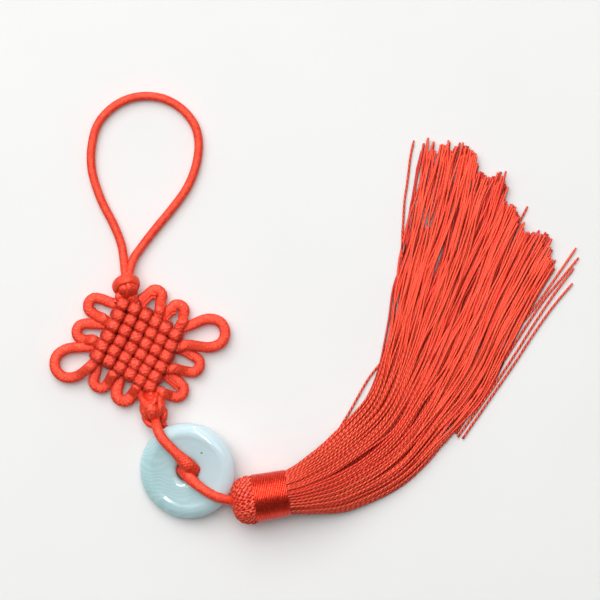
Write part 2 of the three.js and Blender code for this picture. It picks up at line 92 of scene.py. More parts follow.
def spline(points, step):
    """Even points, about a step apart, on a centripetal Catmull-Rom curve, and their place
    along the list of points."""
    p = np.array(points, float)
    ends = np.vstack([2 * p[0] - p[1], p, 2 * p[-1] - p[-2]])
    line, place = [], []
    for k in range(len(p) - 1):
        a, b, c, d = ends[k:k + 4]
        ab, bc, cd = (max(np.linalg.norm(y - x), 1e-6) ** 0.5 for x, y in ((a, b), (b, c), (c, d)))
        start = ((b - a) / ab - (c - a) / (ab + bc) + (c - b) / bc) * bc
        finish = ((c - b) / bc - (d - b) / (bc + cd) + (d - c) / cd) * bc
        t = np.arange(CURVE_STEPS)[:, None] / CURVE_STEPS
        line.append(hermite(t, b, c, start, finish))
        place.append(k + t[:, 0])
    line = np.vstack(line + [p[-1:]])
    place = np.concatenate(place + [[len(p) - 1]])
    run = run_along(line)
    count = max(2, round(run[-1] / step))
    even = np.linspace(0, run[-1], count + 1)
    at = np.stack([np.interp(even, run, line[:, i]) for i in range(3)], axis=1)
    return at, np.interp(even, run, place)


def run_along(path):
    """Distance along a path at each of its points."""
    return np.concatenate([[0], np.cumsum(np.linalg.norm(np.diff(path, axis=0), axis=1))])


def square_on(path, across):
    """Across and out directions, square to the path."""
    along = unit(np.gradient(path, axis=0))
    across = unit(across - along * dot(across, along))
    return across, np.cross(across, along)


def level_across(path):
    """Level direction across a path that lies on the floor."""
    return np.cross(UP, unit(np.gradient(path, axis=0)))


def turns_round(sides):
    return FULL_TURN * np.arange(sides) / sides


def oval_rings(path, across, width, thick, sides, fullness=0.9):
    """Oval sections along a path. A fullness of 1 is an ellipse, and less fills its shoulders."""
    across, out = square_on(path, across)
    a = turns_round(sides)
    c = np.sign(np.cos(a)) * np.abs(np.cos(a)) ** fullness
    s = np.sign(np.sin(a)) * np.abs(np.sin(a)) ** fullness
    width = np.broadcast_to(width, len(path))[:, None, None]
    thick = np.broadcast_to(thick, len(path))[:, None, None]
    return (path[:, None] - across[:, None] * c[None, :, None] * width / 2
            + out[:, None] * s[None, :, None] * thick / 2)


PLAIT_CELLS = 8
PLAIT_PITCH = 0.95
PLAIT_HEIGHT = 0.08
# Mean height of a cell, as a share of its crest, which keeps the cord's width as stated.
PLAIT_MEAN = 0.4


def plaited(rings, path):
    """Raises the diagonal cells of a plaited cord on its skin."""
    u = np.arange(rings.shape[1])[None, :] / rings.shape[1]
    v = run_along(path)[:, None] / PLAIT_PITCH
    cell = np.abs(np.sin(np.pi * (PLAIT_CELLS * u + v)) * np.sin(np.pi * (PLAIT_CELLS * u - v)))
    rise = (cell - PLAIT_MEAN) * PLAIT_HEIGHT
    return rings + unit(rings - path[:, None]) * rise[..., None]


def tube_mesh(name, tubes, tones=None):
    """One mesh of closed tubes. Each tube is (rings, distance along). The map 'lay' holds turns
    round the tube and millimetres along it, and 'tone' a number for each tube or ring: a random
    tone on strands, and the weight of painted shade on the knot's cord."""
    points, corners, starts, maps, marks = [], [], [], [], []
    first = corner = 0
    for number, (rings, along) in enumerate(tubes):
        k, n = rings.shape[:2]
        points += [rings.reshape(-1, 3), rings[:1].mean(1), rings[-1:].mean(1)]
        row = np.arange(k - 1)[:, None] * n
        i, j = np.arange(n)[None, :], (np.arange(n)[None, :] + 1) % n
        quads = np.stack([row + i, row + j, row + j + n, row + i + n], axis=-1)
        turn = np.broadcast_to(np.arange(n)[None, :] / n, (k - 1, n))
        low = np.broadcast_to(along[:-1, None], (k - 1, n))
        high = np.broadcast_to(along[1:, None], (k - 1, n))
        laid = np.stack([turn, low, turn + 1 / n, low, turn + 1 / n, high, turn, high], axis=-1)
        last, poles = (k - 1) * n, (k * n, k * n + 1)
        caps = np.concatenate([
            np.stack([j[0], i[0], np.full(n, poles[0])], axis=-1),
            np.stack([last + i[0], last + j[0], np.full(n, poles[1])], axis=-1)])
        edge = np.arange(n) / n
        cap_map = np.concatenate([
            np.stack([edge + 1 / n, along[:1].repeat(n), edge, along[:1].repeat(n),
                      edge, along[:1].repeat(n)], axis=-1),
            np.stack([edge, along[-1:].repeat(n), edge + 1 / n, along[-1:].repeat(n),
                      edge, along[-1:].repeat(n)], axis=-1)])
        corners += [quads.reshape(-1) + first, caps.reshape(-1) + first]
        starts += [corner + 4 * np.arange(quads.size // 4),
                   corner + quads.size + 3 * np.arange(2 * n)]
        maps += [laid.reshape(-1), cap_map.reshape(-1)]
        tone = np.broadcast_to(0.0 if tones is None else tones[number], k)
        marks += [tone.repeat(n), tone[:1], tone[-1:]]
        first += k * n + 2
        corner += quads.size + caps.size
    mesh = bpy.data.meshes.new(name)
    places = (np.concatenate(points) + PLAN_SHIFT) * MM
    corners, starts = np.concatenate(corners), np.concatenate(starts)
    mesh.vertices.add(len(places))
    mesh.loops.add(len(corners))
    mesh.polygons.add(len(starts))
    mesh.vertices.foreach_set("co", places.astype(np.float32).reshape(-1))
    mesh.loops.foreach_set("vertex_index", corners.astype(np.int32))
    mesh.polygons.foreach_set("loop_start", starts.astype(np.int32))
    mesh.update(calc_edges=True)
    mesh.uv_layers.new(name="lay").data.foreach_set(
        "uv", np.concatenate(maps).astype(np.float32))
    mesh.attributes.new("tone", "FLOAT", "POINT").data.foreach_set(
        "value", np.concatenate(marks).astype(np.float32))
    mesh.polygons.foreach_set("use_smooth", np.ones(len(starts), bool))
    return mesh


def in_scene(name, data):
    obj = bpy.data.objects.new(name, data)
    bpy.context.scene.collection.objects.link(obj)
    return obj


def piece(mesh, finish, node):
    """A finished piece that rides on the ornament and stands for its CAD node."""
    obj = in_scene(mesh.name, mesh)
    mesh.materials.clear()
    mesh.materials.append(finish)
    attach(obj, "root")
    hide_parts(node)
    return obj


# Finishes.

class Value:
    """A shader number that can be used in a sum."""

    def __init__(self, finish, socket):
        self.finish, self.socket = finish, socket

    def sum(self, operation, *others):
        found = self.finish.node("ShaderNodeMath", {"operation": operation},
                                 dict(enumerate((self, *others))))
        return found["Value"]

    def __add__(self, other):
        return self.sum("ADD", other)

    __radd__ = __add__

    def __sub__(self, other):
        return self.sum("SUBTRACT", other)

    def __rsub__(self, other):
        return (self * -1) + other

    def __mul__(self, other):
        return self.sum("MULTIPLY", other)

    __rmul__ = __mul__

    def __truediv__(self, other):
        return self.sum("DIVIDE", other)

    def sine(self):
        return self.sum("SINE")

    def size(self):
        return self.sum("ABSOLUTE")

    def step(self, low, high, bottom=0.0, top=1.0):
        """Rises smoothly from bottom to top as the number goes from low to high."""
        found = self.finish.node("ShaderNodeMapRange", {"interpolation_type": "SMOOTHSTEP"}, {
            "Value": self, "From Min": low, "From Max": high, "To Min": bottom, "To Max": top})
        return found["Result"]


class Finish:
    """A material that is written as sums."""

    def __init__(self, name):
        self.material = bpy.data.materials.new(name)
        self.material.use_nodes = True
        self.tree = self.material.node_tree
        self.tree.nodes.clear()

    def node(self, kind, settings=None, sockets=None):
        made = self.tree.nodes.new(kind)
        for name, value in (settings or {}).items():
            setattr(made, name, value)
        for name, value in (sockets or {}).items():
            socket = made.inputs[name]
            if isinstance(value, Value):
                self.tree.links.new(value.socket, socket)
            elif socket.type == "RGBA":
                socket.default_value = (*value[:3], 1.0)
            else:
                socket.default_value = value
        outputs = {}
        for found in made.outputs:
            if found.enabled and found.name not in outputs:
                outputs[found.name] = Value(self, found)
        return outputs

    def tone(self):
        """The number that the mesh holds for each of its tubes or rings: a random tone on the
        strands, and the weight of painted shade on the knot's cord and the binding thread.
        """
        return self.node("ShaderNodeAttribute", {"attribute_name": "tone"})["Fac"]

    def lay(self):
        """Turns round the cord and millimetres along it."""
        found = self.node("ShaderNodeUVMap", {"uv_map": "lay"})
        parts = self.node("ShaderNodeSeparateXYZ", None, {"Vector": found["UV"]})
        return parts["X"], parts["Y"]

    def spot(self, scale=1.0):
        """Object coordinates in millimetres, times a scale."""
        place = self.node("ShaderNodeTexCoord")["Object"]
        return self.node("ShaderNodeVectorMath", {"operation": "SCALE"},
                         {0: place, "Scale": scale / MM})["Vector"]

    def vector(self, x, y, z=0.0):
        return self.node("ShaderNodeCombineXYZ", None, {"X": x, "Y": y, "Z": z})["Vector"]

    def noise(self, vector, scale=1.0, detail=2.0, roughness=0.5):
        return self.node("ShaderNodeTexNoise", {"noise_dimensions": "3D"}, {
            "Vector": vector, "Scale": scale, "Detail": detail, "Roughness": roughness})["Fac"]

    def blend(self, factor, a, b):
        """Colour a where the factor is 0, b where it is 1, through the colour sockets 6 and 7."""
        return self.node("ShaderNodeMix", {"data_type": "RGBA"}, {0: factor, 6: a, 7: b})["Result"]

    def bump(self, height, distance, strength=1.0):
        return self.node("ShaderNodeBump", None, {
            "Height": height, "Distance": distance * MM, "Strength": strength})["Normal"]

    def close(self, **sockets):
        """Ends the material in a Principled shader."""
        names = {key.replace("_", " "): value for key, value in sockets.items()}
        shader = self.node("ShaderNodeBsdfPrincipled", None, names)["BSDF"]
        self.node("ShaderNodeOutputMaterial", None, {"Surface": shader})
        return self.material


# Reds of the cord and strands: painted shade for the plait's grooves, painted shade for where the
# cord goes under the weave, the body colour, a painted sheen, and painted shade for where strands
# touch.
RED_SHADE = (0.66, 0.024, 0.012)
RED_DIP_PAINTED_SHADE = (0.24, 0.004, 0.005)
RED_BODY = (0.82, 0.036, 0.015)
RED_PAINTED_SHEEN = (1.0, 0.105, 0.038)
RED_CONTACT_SHADE = (0.24, 0.004, 0.006)
DIP_SHADE_SHARE = 0.85


def satin_cord():
    """Satin cord with a fine plait, with painted shade in the plait's grooves and where it dips
    into the weave, and painted sheen in random streaks.
    """
    f = Finish("plaited satin cord")
    turn, along = f.lay()
    worn = f.noise(f.spot(0.9), 1.0, 2.0)
    lean = turn * PLAIT_CELLS + worn * 0.35
    rise = along / PLAIT_PITCH
    cell = (((lean + rise) * math.pi).sine() * ((lean - rise) * math.pi).sine()).size()
    fibre = f.noise(f.vector(turn * 24.0, along * 1.3), 1.0, 3.0, 0.7)
    drift = f.noise(f.spot(1.1), 1.0, 2.0)
    # Painted shade: the plait's grooves take the darker red.
    colour = f.blend(cell.step(0.0, 0.45), RED_SHADE, RED_BODY)
    # Painted sheen: the bright highlight red laid in random fibre streaks.
    colour = f.blend((fibre * 0.8 + drift * 0.8).step(0.58, 1.05) * 0.8, colour, RED_PAINTED_SHEEN)
    # Painted shade: the cord is darkened where it dips under the weave, by the number that each
    # ring holds.
    colour = f.blend(f.tone() * DIP_SHADE_SHARE, colour, RED_DIP_PAINTED_SHADE)
    return f.close(
        Base_Color=colour, Roughness=fibre * 0.25 + 0.34, Metallic=0.3,
        Normal=f.bump(cell * 0.6 + fibre * 0.5, 0.16, 0.8),
        Sheen_Weight=0.08, Sheen_Roughness=0.4, Sheen_Tint=(1.0, 0.35, 0.2),
        Specular_IOR_Level=0.35)


# The strands' twist shows less and less over this stretch of their length, in millimetres.
TWIST_FADE = SimpleNamespace(start=26.0, end=82.0, share=0.8)


def twisted_strand(name, pitch, groove_shade, body, crest_highlight, ply_depth, contact_shade_share=1.0):
    """Two-ply satin strand: painted highlight on its plies, painted shade in the grooves between
    them, and painted shade on its sides where it touches its neighbours."""
    f = Finish(name)
    turn, along = f.lay()
    ply = (((turn * 2.0) + along / pitch) * math.pi).sine().size()
    tone = f.tone()
    fibre = f.noise(f.vector(turn * 24.0, along * 3.0, tone * 40.0), 1.0, 2.0, 0.6)
    faint = along.step(TWIST_FADE.start, TWIST_FADE.end, 0.0, TWIST_FADE.share)
    # Painted shade in the ply grooves, fading out far along the strand.
    colour = f.blend(faint + (1 - faint) * ply.step(0.05, 0.6), groove_shade, body)
    crest = faint * 0.45 + (1 - faint) * ply.step(0.45, 0.95)
    # Painted highlight on the ply crests, spread more evenly far along the strand.
    colour = f.blend((tone * 0.5 + fibre * 0.7).step(0.25, 0.8) * crest, colour, crest_highlight)
    # Painted shade on the strand's sides and underside, where it touches its neighbours.
    top = (turn * -FULL_TURN).sine()
    colour = f.blend(top.step(-0.1, 0.75, contact_shade_share, 1.0), RED_CONTACT_SHADE, colour)
    return f.close(
        Base_Color=colour, Roughness=fibre * 0.2 + 0.32, Metallic=0.15,
        Normal=f.bump(ply.step(0.0, 0.8) * (1 - faint) + fibre * 0.2, ply_depth, 0.9),
        Sheen_Weight=0.1, Sheen_Roughness=0.4, Sheen_Tint=(1.0, 0.4, 0.25),
        Specular_IOR_Level=0.4)


def wound_thread():
    """Fine glossy thread of the binding, with painted shade in the grooves between its turns."""
    f = Finish("fine glossy binding thread")
    fibre = f.noise(f.spot(1.4), 1.0, 2.0, 0.6)
    colour = f.blend(fibre.step(0.3, 0.75), (0.86, 0.036, 0.018), (1.0, 0.085, 0.034))
    # Painted shade: the thread is dark where it lies low, in the grooves between its turns.
    colour = f.blend(f.tone().step(0.0, 0.9), (0.22, 0.004, 0.007), colour)
    return f.close(
        Base_Color=colour, Roughness=fibre * 0.1 + 0.24, Metallic=0.85, Specular_IOR_Level=0.6)


def shade_painted_core():
    """Threads under the outer strands, painted dark as shade."""
    f = Finish("inner strands in shade")
    fibre = f.noise(f.spot(1.8), 1.0, 2.0)
    return f.close(Base_Color=f.blend(fibre, (0.16, 0.004, 0.004), (0.32, 0.010, 0.007)),
                   Roughness=0.7, Normal=f.bump(fibre, 0.2, 0.6))


# The ring's middle, and how far it tips down on the side that a heading names, in degrees.
RING = SimpleNamespace(x=-39.2, y=-43.1, z=5.35, low=220, tip=12)
# Small dark fault in the glass, from the ring's middle.
SPECK = (4.4, 5.6)
GLASS_LAYER_PITCH = 1.5


def milky_glass():
    """Pale aqua milky glass, a little deeper on one side, with faint wavy layers."""
    f = Finish("milky aqua glass")
    parts = f.node("ShaderNodeSeparateXYZ", None, {"Vector": f.spot()})
    x = parts["X"] - (RING.x + PLAN_SHIFT[0])
    y = parts["Y"] - (RING.y + PLAN_SHIFT[1])
    sway = f.noise(f.spot(0.12), 1.0, 1.0)
    layer = ((y + sway * 9.0) * (FULL_TURN / GLASS_LAYER_PITCH)).sine() * 0.5 + 0.5
    where = (x * -0.8 + y * -0.5 + sway * 6.0).step(1.0, 12.0)
    cloud = f.noise(f.spot(0.10), 1.0, 3.0, 0.55)
    colour = f.blend((x * -0.8 + y * -0.3 + cloud * 10.0).step(-12.0, 20.0),
                     (0.67, 0.78, 0.83), (0.41, 0.65, 0.67))
    colour = f.blend(layer * where * 0.26, colour, (0.80, 0.90, 0.90))
    off_x, off_y = x - SPECK[0], y - SPECK[1]
    colour = f.blend((off_x * off_x * 0.4 + off_y * off_y).step(0.01, 0.08), (0.05, 0.08, 0.08),
                     colour)
    return f.close(
        Base_Color=colour, Roughness=0.045, IOR=1.5, Specular_IOR_Level=0.32,
        Subsurface_Weight=0.55, Subsurface_Radius=(0.0020, 0.0028, 0.0030),
        Subsurface_Scale=1.0, Coat_Weight=0.15, Coat_Roughness=0.02)


def pale_floor():
    f = Finish("pale matt floor")
    grain = f.noise(f.spot(0.02), 1.0, 2.0)
    return f.close(Base_Color=f.blend(grain, (0.86, 0.86, 0.85), (0.90, 0.90, 0.89)),
                   Roughness=0.85, Specular_IOR_Level=0.15)


STRAND_TWIST = 1.6
CORD = satin_cord()
# Strand finishes: one for the upper and stray strands, and a darker copy of it for the lower
# strands, which is painted shade.
STRAND = twisted_strand(
    "twisted tassel strand", STRAND_TWIST, groove_shade=(0.70, 0.016, 0.009),
    body=(1.0, 0.052, 0.019), crest_highlight=(1.0, 0.13, 0.046), ply_depth=0.3, contact_shade_share=0.4)
UNDER_STRAND_PAINTED_SHADE = twisted_strand(
    "shaded tassel strand", STRAND_TWIST, groove_shade=(0.26, 0.005, 0.005),
    body=(0.60, 0.018, 0.009), crest_highlight=(0.82, 0.045, 0.018), ply_depth=0.3, contact_shade_share=0.4)


# Camera.

# The camera looks straight down. Its view is measured at the height of the cords' middle.
VIEW_CENTRE = (-2.3, 10.1)
VIEW_WIDTH = 186.0
VIEW_DISTANCE = 900.0
CORD_MIDDLE = 2.5
SENSOR = 36.0

camera = in_scene("camera", bpy.data.cameras.new("camera"))
camera.location = (VIEW_CENTRE[0] * MM, VIEW_CENTRE[1] * MM, (VIEW_DISTANCE + CORD_MIDDLE) * MM)
camera.data.sensor_width = SENSOR
camera.data.lens = SENSOR * VIEW_DISTANCE / VIEW_WIDTH
camera.data.clip_end = 20.0
bpy.context.scene.camera = camera
bpy.context.scene.view_settings.view_transform = "Standard"


# Free cords.

HANGING_LOOP = [
    (-58.6, 16.2, 4.6), (-58.7, 17.9, 4.1), (-58.9, 20.0, 2.9), (-59.3, 23.2, 1.8),
    (-60.0, 27.0, 1.4), (-62.3, 32.9, 1.3),
    (-66.2, 40.6, 1.3), (-69.1, 49.9, 1.3), (-69.2, 57.0, 1.3), (-67.4, 63.9, 1.3),
    (-63.4, 68.8, 1.3), (-58.1, 71.9, 1.3), (-52.2, 72.9, 1.3), (-46.3, 71.9, 1.3),
    (-41.1, 68.8, 1.3), (-37.4, 64.2, 1.3), (-36.0, 59.2, 1.3), (-36.6, 52.2, 1.3),
    (-39.5, 44.6, 1.3), (-45.3, 36.6, 1.3), (-48.4, 32.9, 1.3), (-53.0, 27.0, 1.4),
    (-55.9, 22.8, 1.9), (-56.9, 20.0, 2.9), (-57.3, 17.9, 4.1), (-57.4, 16.2, 4.6),
]
RING_LOOP = [
    (-49.2, -26.8, 5.8), (-49.0, -28.2, 7.0), (-48.4, -30.2, 8.6), (-47.0, -32.8, 9.7),
    (-45.2, -34.9, 9.9), (-43.2, -36.9, 9.9), (-41.0, -39.1, 9.7), (-38.6, -41.5, 9.2),
    (-37.0, -43.1, 7.4), (-36.8, -43.4, 4.6), (-37.6, -42.5, 2.3), (-40.2, -39.9, 1.45),
    (-44.4, -35.2, 1.45), (-46.6, -32.0, 1.6), (-47.8, -29.6, 2.2), (-48.4, -28.0, 2.8),
]
HEAD_LOOP = [
    (-24.2, -52.4, 8.0), (-26.2, -52.0, 8.8), (-28.4, -51.5, 9.4), (-30.8, -50.7, 9.7),
    (-34.2, -48.7, 9.6), (-37.4, -46.2, 8.9), (-39.8, -44.0, 7.6), (-41.2, -42.6, 5.6),
    (-41.3, -42.4, 3.8), (-40.5, -43.8, 2.2), (-37.6, -46.7, 1.45), (-32.4, -50.2, 1.45),
    (-28.8, -51.7, 2.0), (-26.0, -52.5, 3.2), (-24.6, -52.9, 3.8),
]
RING_SPACING = PLAIT_PITCH / 4
CORD_SIDES = 24

# The splay is how much wider a cord is where it presses round the edge of the ring's hole.
CORDS = table(
    "name node route width thick declared taper splay",
    ("hanging_cord", "hanging_loop", HANGING_LOOP, 2.65, 2.4, 2.5, 0.12, 0.0),
    ("ring_link_cord", "ring_loop", RING_LOOP, 3.1, 2.2, 2.6, 0.1, 0.36),
    ("head_link_cord", "head_loop", HEAD_LOOP, 3.0, 2.3, 2.6, 0.1, 0.2),
)


TAPER_LENGTH = 4.0
SPLAY_FULL, SPLAY_GONE = 2.5, 7.0
STATED_POINTS = 36


def free_cord(cord):
    """A plaited cord. A link loop is flat to the plane that it turns in."""
    path, _ = spline(cord.route, RING_SPACING)
    along = run_along(path)
    if cord.node == "hanging_loop":
        across = level_across(path)
    else:
        chord = path[len(path) // 2] - path[0]
        across = np.broadcast_to(unit(np.cross(UP, chord)), path.shape)
    near_end = np.minimum(along, along[-1] - along)
    taper = 1 - cord.taper * (1 - smooth(0.0, TAPER_LENGTH, near_end))
    from_hole = np.hypot(path[:, 0] - RING.x, path[:, 1] - RING.y)
    splay = 1 + cord.splay * (1 - smooth(SPLAY_FULL, SPLAY_GONE, from_hole))
    rings = oval_rings(path, across, cord.width * taper * splay, cord.thick * taper, CORD_SIDES)
    mesh = tube_mesh(cord.name, [(plaited(rings, path), along)])
    obj = piece(mesh, CORD, cord.node)
    route = (path[::max(1, len(path) // STATED_POINTS)] + PLAN_SHIFT) * MM
    route = np.vstack([route[:-1], (path[-1:] + PLAN_SHIFT) * MM])


for cord in CORDS:
    free_cord(cord)


# Woven square knot.

WEAVE = 6
WEAVE_CENTRE = np.array([-54.7, -4.5, 0.0])
ROW_DIRECTION = heading(-30.7)
COLUMN_DIRECTION = heading(-116.1)
ALONG_ROW_PITCH = 3.75
ALONG_COLUMN_PITCH = 3.57
# How far each line lies from even spacing, along the rows and along the columns.
ROW_SHIFTS = table("along_row along_column", (-0.23, -0.09), (0.11, 0.04), (0.14, 0.0),
                   (0.2, 0.13), (-0.11, 0.04), (-0.12, -0.12))
COLUMN_SHIFTS = table("along_row along_column", (-0.21, 0.32), (0.03, -0.24), (0.22, -0.22),
                      (0.16, -0.04), (-0.03, 0.07), (-0.16, 0.1))
LAYER = 1.75
BODY_MID = 3.35
EAR_HEIGHT = 2.1

# One crossing: place along the line in millimetres, height in layers, width and painted shade
# where the line lies on top, and height where it lies under.
CROSSING = table(
    "place over width under dip",
    (-1.45, 0.92, 3.3, 0.46, 0.95),
    (-1.05, 1.4, 3.45, 0.46, 0.4),
    (0.0, 1.48, 3.5, 0.46, 0.0),
    (1.05, 1.4, 3.45, 0.46, 0.4),
    (1.45, 0.92, 3.3, 0.46, 0.95),
)
PILLOW_THICK = 1.85
TURN = table("reach lift width thick", (1.62, 0.62, 3.3, 1.9), (1.78, 0.0, 3.3, 1.8),
             (1.62, -0.62, 3.3, 1.9))
LEG = table("out lift width thick", (3.5, 0.64, 3.25, 2.2), (2.3, 0.46, 3.25, 1.8))
LINE_WIDTH, LINE_THICK = 3.2, 1.5
LEAD_WIDTH, LEAD_THICK = 2.9, 2.0
EAR_THICK = 2.5
KNOT_FULLNESS = 0.72

# Ears: middle and radius of the bow, and where its two legs leave the weave.
EARS = {row.name: row for row in table(
    "name x y radius width start finish",
    ("upper left 1", -67.6, 7.7, 2.6, 3.3, (-62.4, 8.6), (-65.3, 3.8)),
    ("upper left 2", -71.2, -0.3, 2.55, 3.3, (-66.8, 2.1), (-68.5, -2.7)),
    ("left", -76.1, -10.1, 4.5, 3.3, (-70.1, -4.8), (-69.5, -11.0)),
    ("lower left 1", -66.3, -15.4, 2.3, 3.3, (-67.7, -12.4), (-62.4, -13.4)),
    ("lower left 2", -59.0, -19.2, 2.5, 3.7, (-60.3, -14.7), (-55.0, -17.3)),
    ("upper right 1", -49.4, 10.6, 2.2, 3.3, (-54.1, 9.4), (-47.9, 6.7)),
    ("upper right 2", -42.5, 6.0, 2.2, 3.3, (-46.1, 5.3), (-40.8, 3.1)),
    ("right", -32.1, -0.6, 4.4, 3.3, (-38.4, 1.8), (-40.0, -4.3)),
    ("lower right 1", -38.2, -10.3, 2.6, 3.3, (-40.0, -6.3), (-43.6, -11.6)),
    ("lower right 2", -42.9, -18.2, 2.4, 3.3, (-44.4, -13.7), (-46.9, -19.2)),
)}
EAR_BOW = table("side out", (-1.0, -0.1), (-0.72, 0.69), (0.0, 1.0), (0.72, 0.69), (1.0, -0.1))
INNER_LEG_SHARE = 0.4

# The lines that each half of the cord weaves, in order, and the ear that it makes after each.
FIRST_STRAND = table(
    "kind line ear",
    ("row", 1, "upper left 1"), ("row", 3, "upper left 2"), ("row", 5, "left"),
    ("column", 1, "lower left 1"), ("column", 3, "lower left 2"), ("column", 5, None),
)
SECOND_STRAND = table(
    "kind line ear",
    ("column", 2, "upper right 1"), ("column", 4, "upper right 2"), ("column", 6, "right"),
    ("row", 2, "lower right 1"), ("row", 4, "lower right 2"), ("row", 6, None),
)
# Each half's way from the upper button into the weave, and out of it to the lower button.
HALVES = table(
    "name lines head head_leg tail tail_leg",
    ("knot_first_strand", FIRST_STRAND, [(-59.7, 12.0, 4.2), (-60.2, 10.9, 4.8)], (-60.1, 9.6),
     [(-52.8, -21.4, 4.6)], (-54.0, -17.8)),
    ("knot_second_strand", SECOND_STRAND, [(-56.9, 12.2, 4.4), (-56.5, 10.7, 4.9)],
     (-55.7, 8.9), [(-49.0, -21.4, 5.0)], (-49.0, -18.9)),
)


def station(at, across, width, thick, dip=0.0):
    """A place on the cord's path, with its section there and how much painted shade it takes where
    it dips out of sight.
    """
    return SimpleNamespace(at=at, across=across, width=width, thick=thick, dip=dip)


def crossing(row, column):
    middle = (WEAVE + 1) / 2
    shifts = ROW_SHIFTS[row - 1], COLUMN_SHIFTS[column - 1]
    along_row = ALONG_ROW_PITCH * (column - middle) + sum(s.along_row for s in shifts)
    along_column = ALONG_COLUMN_PITCH * (row - middle) + sum(s.along_column for s in shifts)
    return WEAVE_CENTRE + ROW_DIRECTION * along_row + COLUMN_DIRECTION * along_column


def woven_line(kind, number, sign):
    """One doubled line of the weave: in along its upper run, back along its lower one."""
    is_row = kind == "row"
    from_first = is_row == (number % 2 == 1)
    order = range(1, WEAVE + 1) if from_first else range(WEAVE, 0, -1)
    middles = [crossing(number, k) if is_row else crossing(k, number) for k in order]
    inward = (ROW_DIRECTION if is_row else COLUMN_DIRECTION) * (1 if from_first else -1)
    across = np.cross(UP, inward) * sign

    def spot(middle, x, lift, width=LINE_WIDTH, thick=LINE_THICK, dip=0.0):
        at = middle + inward * x + UP * (BODY_MID + lift * LAYER)
        return station(at, across, width, thick, dip)

    upper = [spot(middles[0], -row.out, row.lift, row.width, row.thick) for row in LEG]
    for k, middle in enumerate(middles):
        for row in CROSSING:
            upper.append(spot(middle, row.place, row.over, row.width, PILLOW_THICK, row.dip)
                         if k % 2 == 1 else spot(middle, row.place, row.under, dip=1.0))
    lower = [station(s.at * [1, 1, -1] + UP * 2 * BODY_MID, s.across, s.width, s.thick, s.dip)
             for s in reversed(upper)]
    turn = [spot(middles[-1], row.reach, row.lift, row.width, row.thick) for row in TURN]
    return upper + turn + lower


def set_leg(outer, inner, place):
    """Moves the end of a leg to a place in plan, and its next station part of the way."""
    shift = np.array(place) - outer.at[:2]
    outer.at[:2] += shift
    inner.at[:2] += shift * INNER_LEG_SHARE


def ear_bow(ear, start, finish, sign):
    """The loop of cord that stands clear of the weave between two lines."""
    centre = np.array([ear.x, ear.y, 0.0])
    middle = (start + finish) / 2 * [1, 1, 0]
    out = unit(centre - middle)
    side = np.cross(UP, out)
    if side @ (finish - start) < 0:
        side = -side
    spots = [centre + side * b.side * ear.radius + out * b.out * ear.radius + UP * EAR_HEIGHT
             for b in EAR_BOW]
    way = np.gradient(np.array([start, *spots, finish]), axis=0)[1:-1] * [1, 1, 0]
    return [station(at, np.cross(UP, unit(w)) * sign, ear.width, EAR_THICK)
            for at, w in zip(spots, way)]


def lead_in(points, beside, sign):
    """Short run between a button knot and the weave, from the knot outward."""
    places = [np.array(p, float) for p in points] + [beside.at]
    return [station(a, np.cross(UP, unit((b - a) * [1, 1, 0])) * sign, LEAD_WIDTH, LEAD_THICK)
            for a, b in zip(places, places[1:])]


def half_stations(half):
    """Stations of one half of the cord, from the upper button knot to the lower one. The cord
    turns over at each ear, so its sign changes from line to line."""
    signs = [1 if k % 2 == 0 else -1 for k in range(len(half.lines))]
    runs = [woven_line(row.kind, row.line, sign) for row, sign in zip(half.lines, signs)]
    runs[0].pop(0)
    runs[-1].pop()
    runs[0][0].at[:2] = half.head_leg
    runs[-1][-1].at[:2] = half.tail_leg
    stations = lead_in(half.head, runs[0][0], 1)
    for row, sign, run, following in zip(half.lines, signs, runs, runs[1:] + [None]):
        if row.ear:
            ear = EARS[row.ear]
            set_leg(run[-1], run[-2], ear.start)
            set_leg(following[0], following[1], ear.finish)
        stations += run
        if row.ear:
            stations += ear_bow(ear, run[-1].at, following[0].at, -sign)
    return stations + lead_in(half.tail, stations[-1], signs[-1])[::-1]


def knot_half(half):
    stations = half_stations(half)
    path, place = spline([s.at for s in stations], RING_SPACING)

    def along_path(*values):
        return np.interp(place, np.arange(len(stations)), values)

    across = np.stack([along_path(*(s.across[i] for s in stations)) for i in range(3)], axis=1)
    rings = oval_rings(path, across, along_path(*(s.width for s in stations)),
                       along_path(*(s.thick for s in stations)), CORD_SIDES, KNOT_FULLNESS)
    # Each ring holds its painted shade, darkest where the cord lies under the weave.
    mesh = tube_mesh(half.name, [(plaited(rings, path), run_along(path))],
                     [along_path(*(s.dip for s in stations))])
    piece(mesh, CORD, "pan_chang_knot")


for half in HALVES:
    knot_half(half)


# Button knots.

UPPER_BUTTON = SimpleNamespace(centre=(-58.4, 14.3, 3.9), radii=(4.1, 3.6, 3.9), heart=0.92)
LOWER_BUTTON = SimpleNamespace(centre=(-49.9, -24.1, 4.3), radii=(4.0, 4.5, 4.3), heart=0.82)

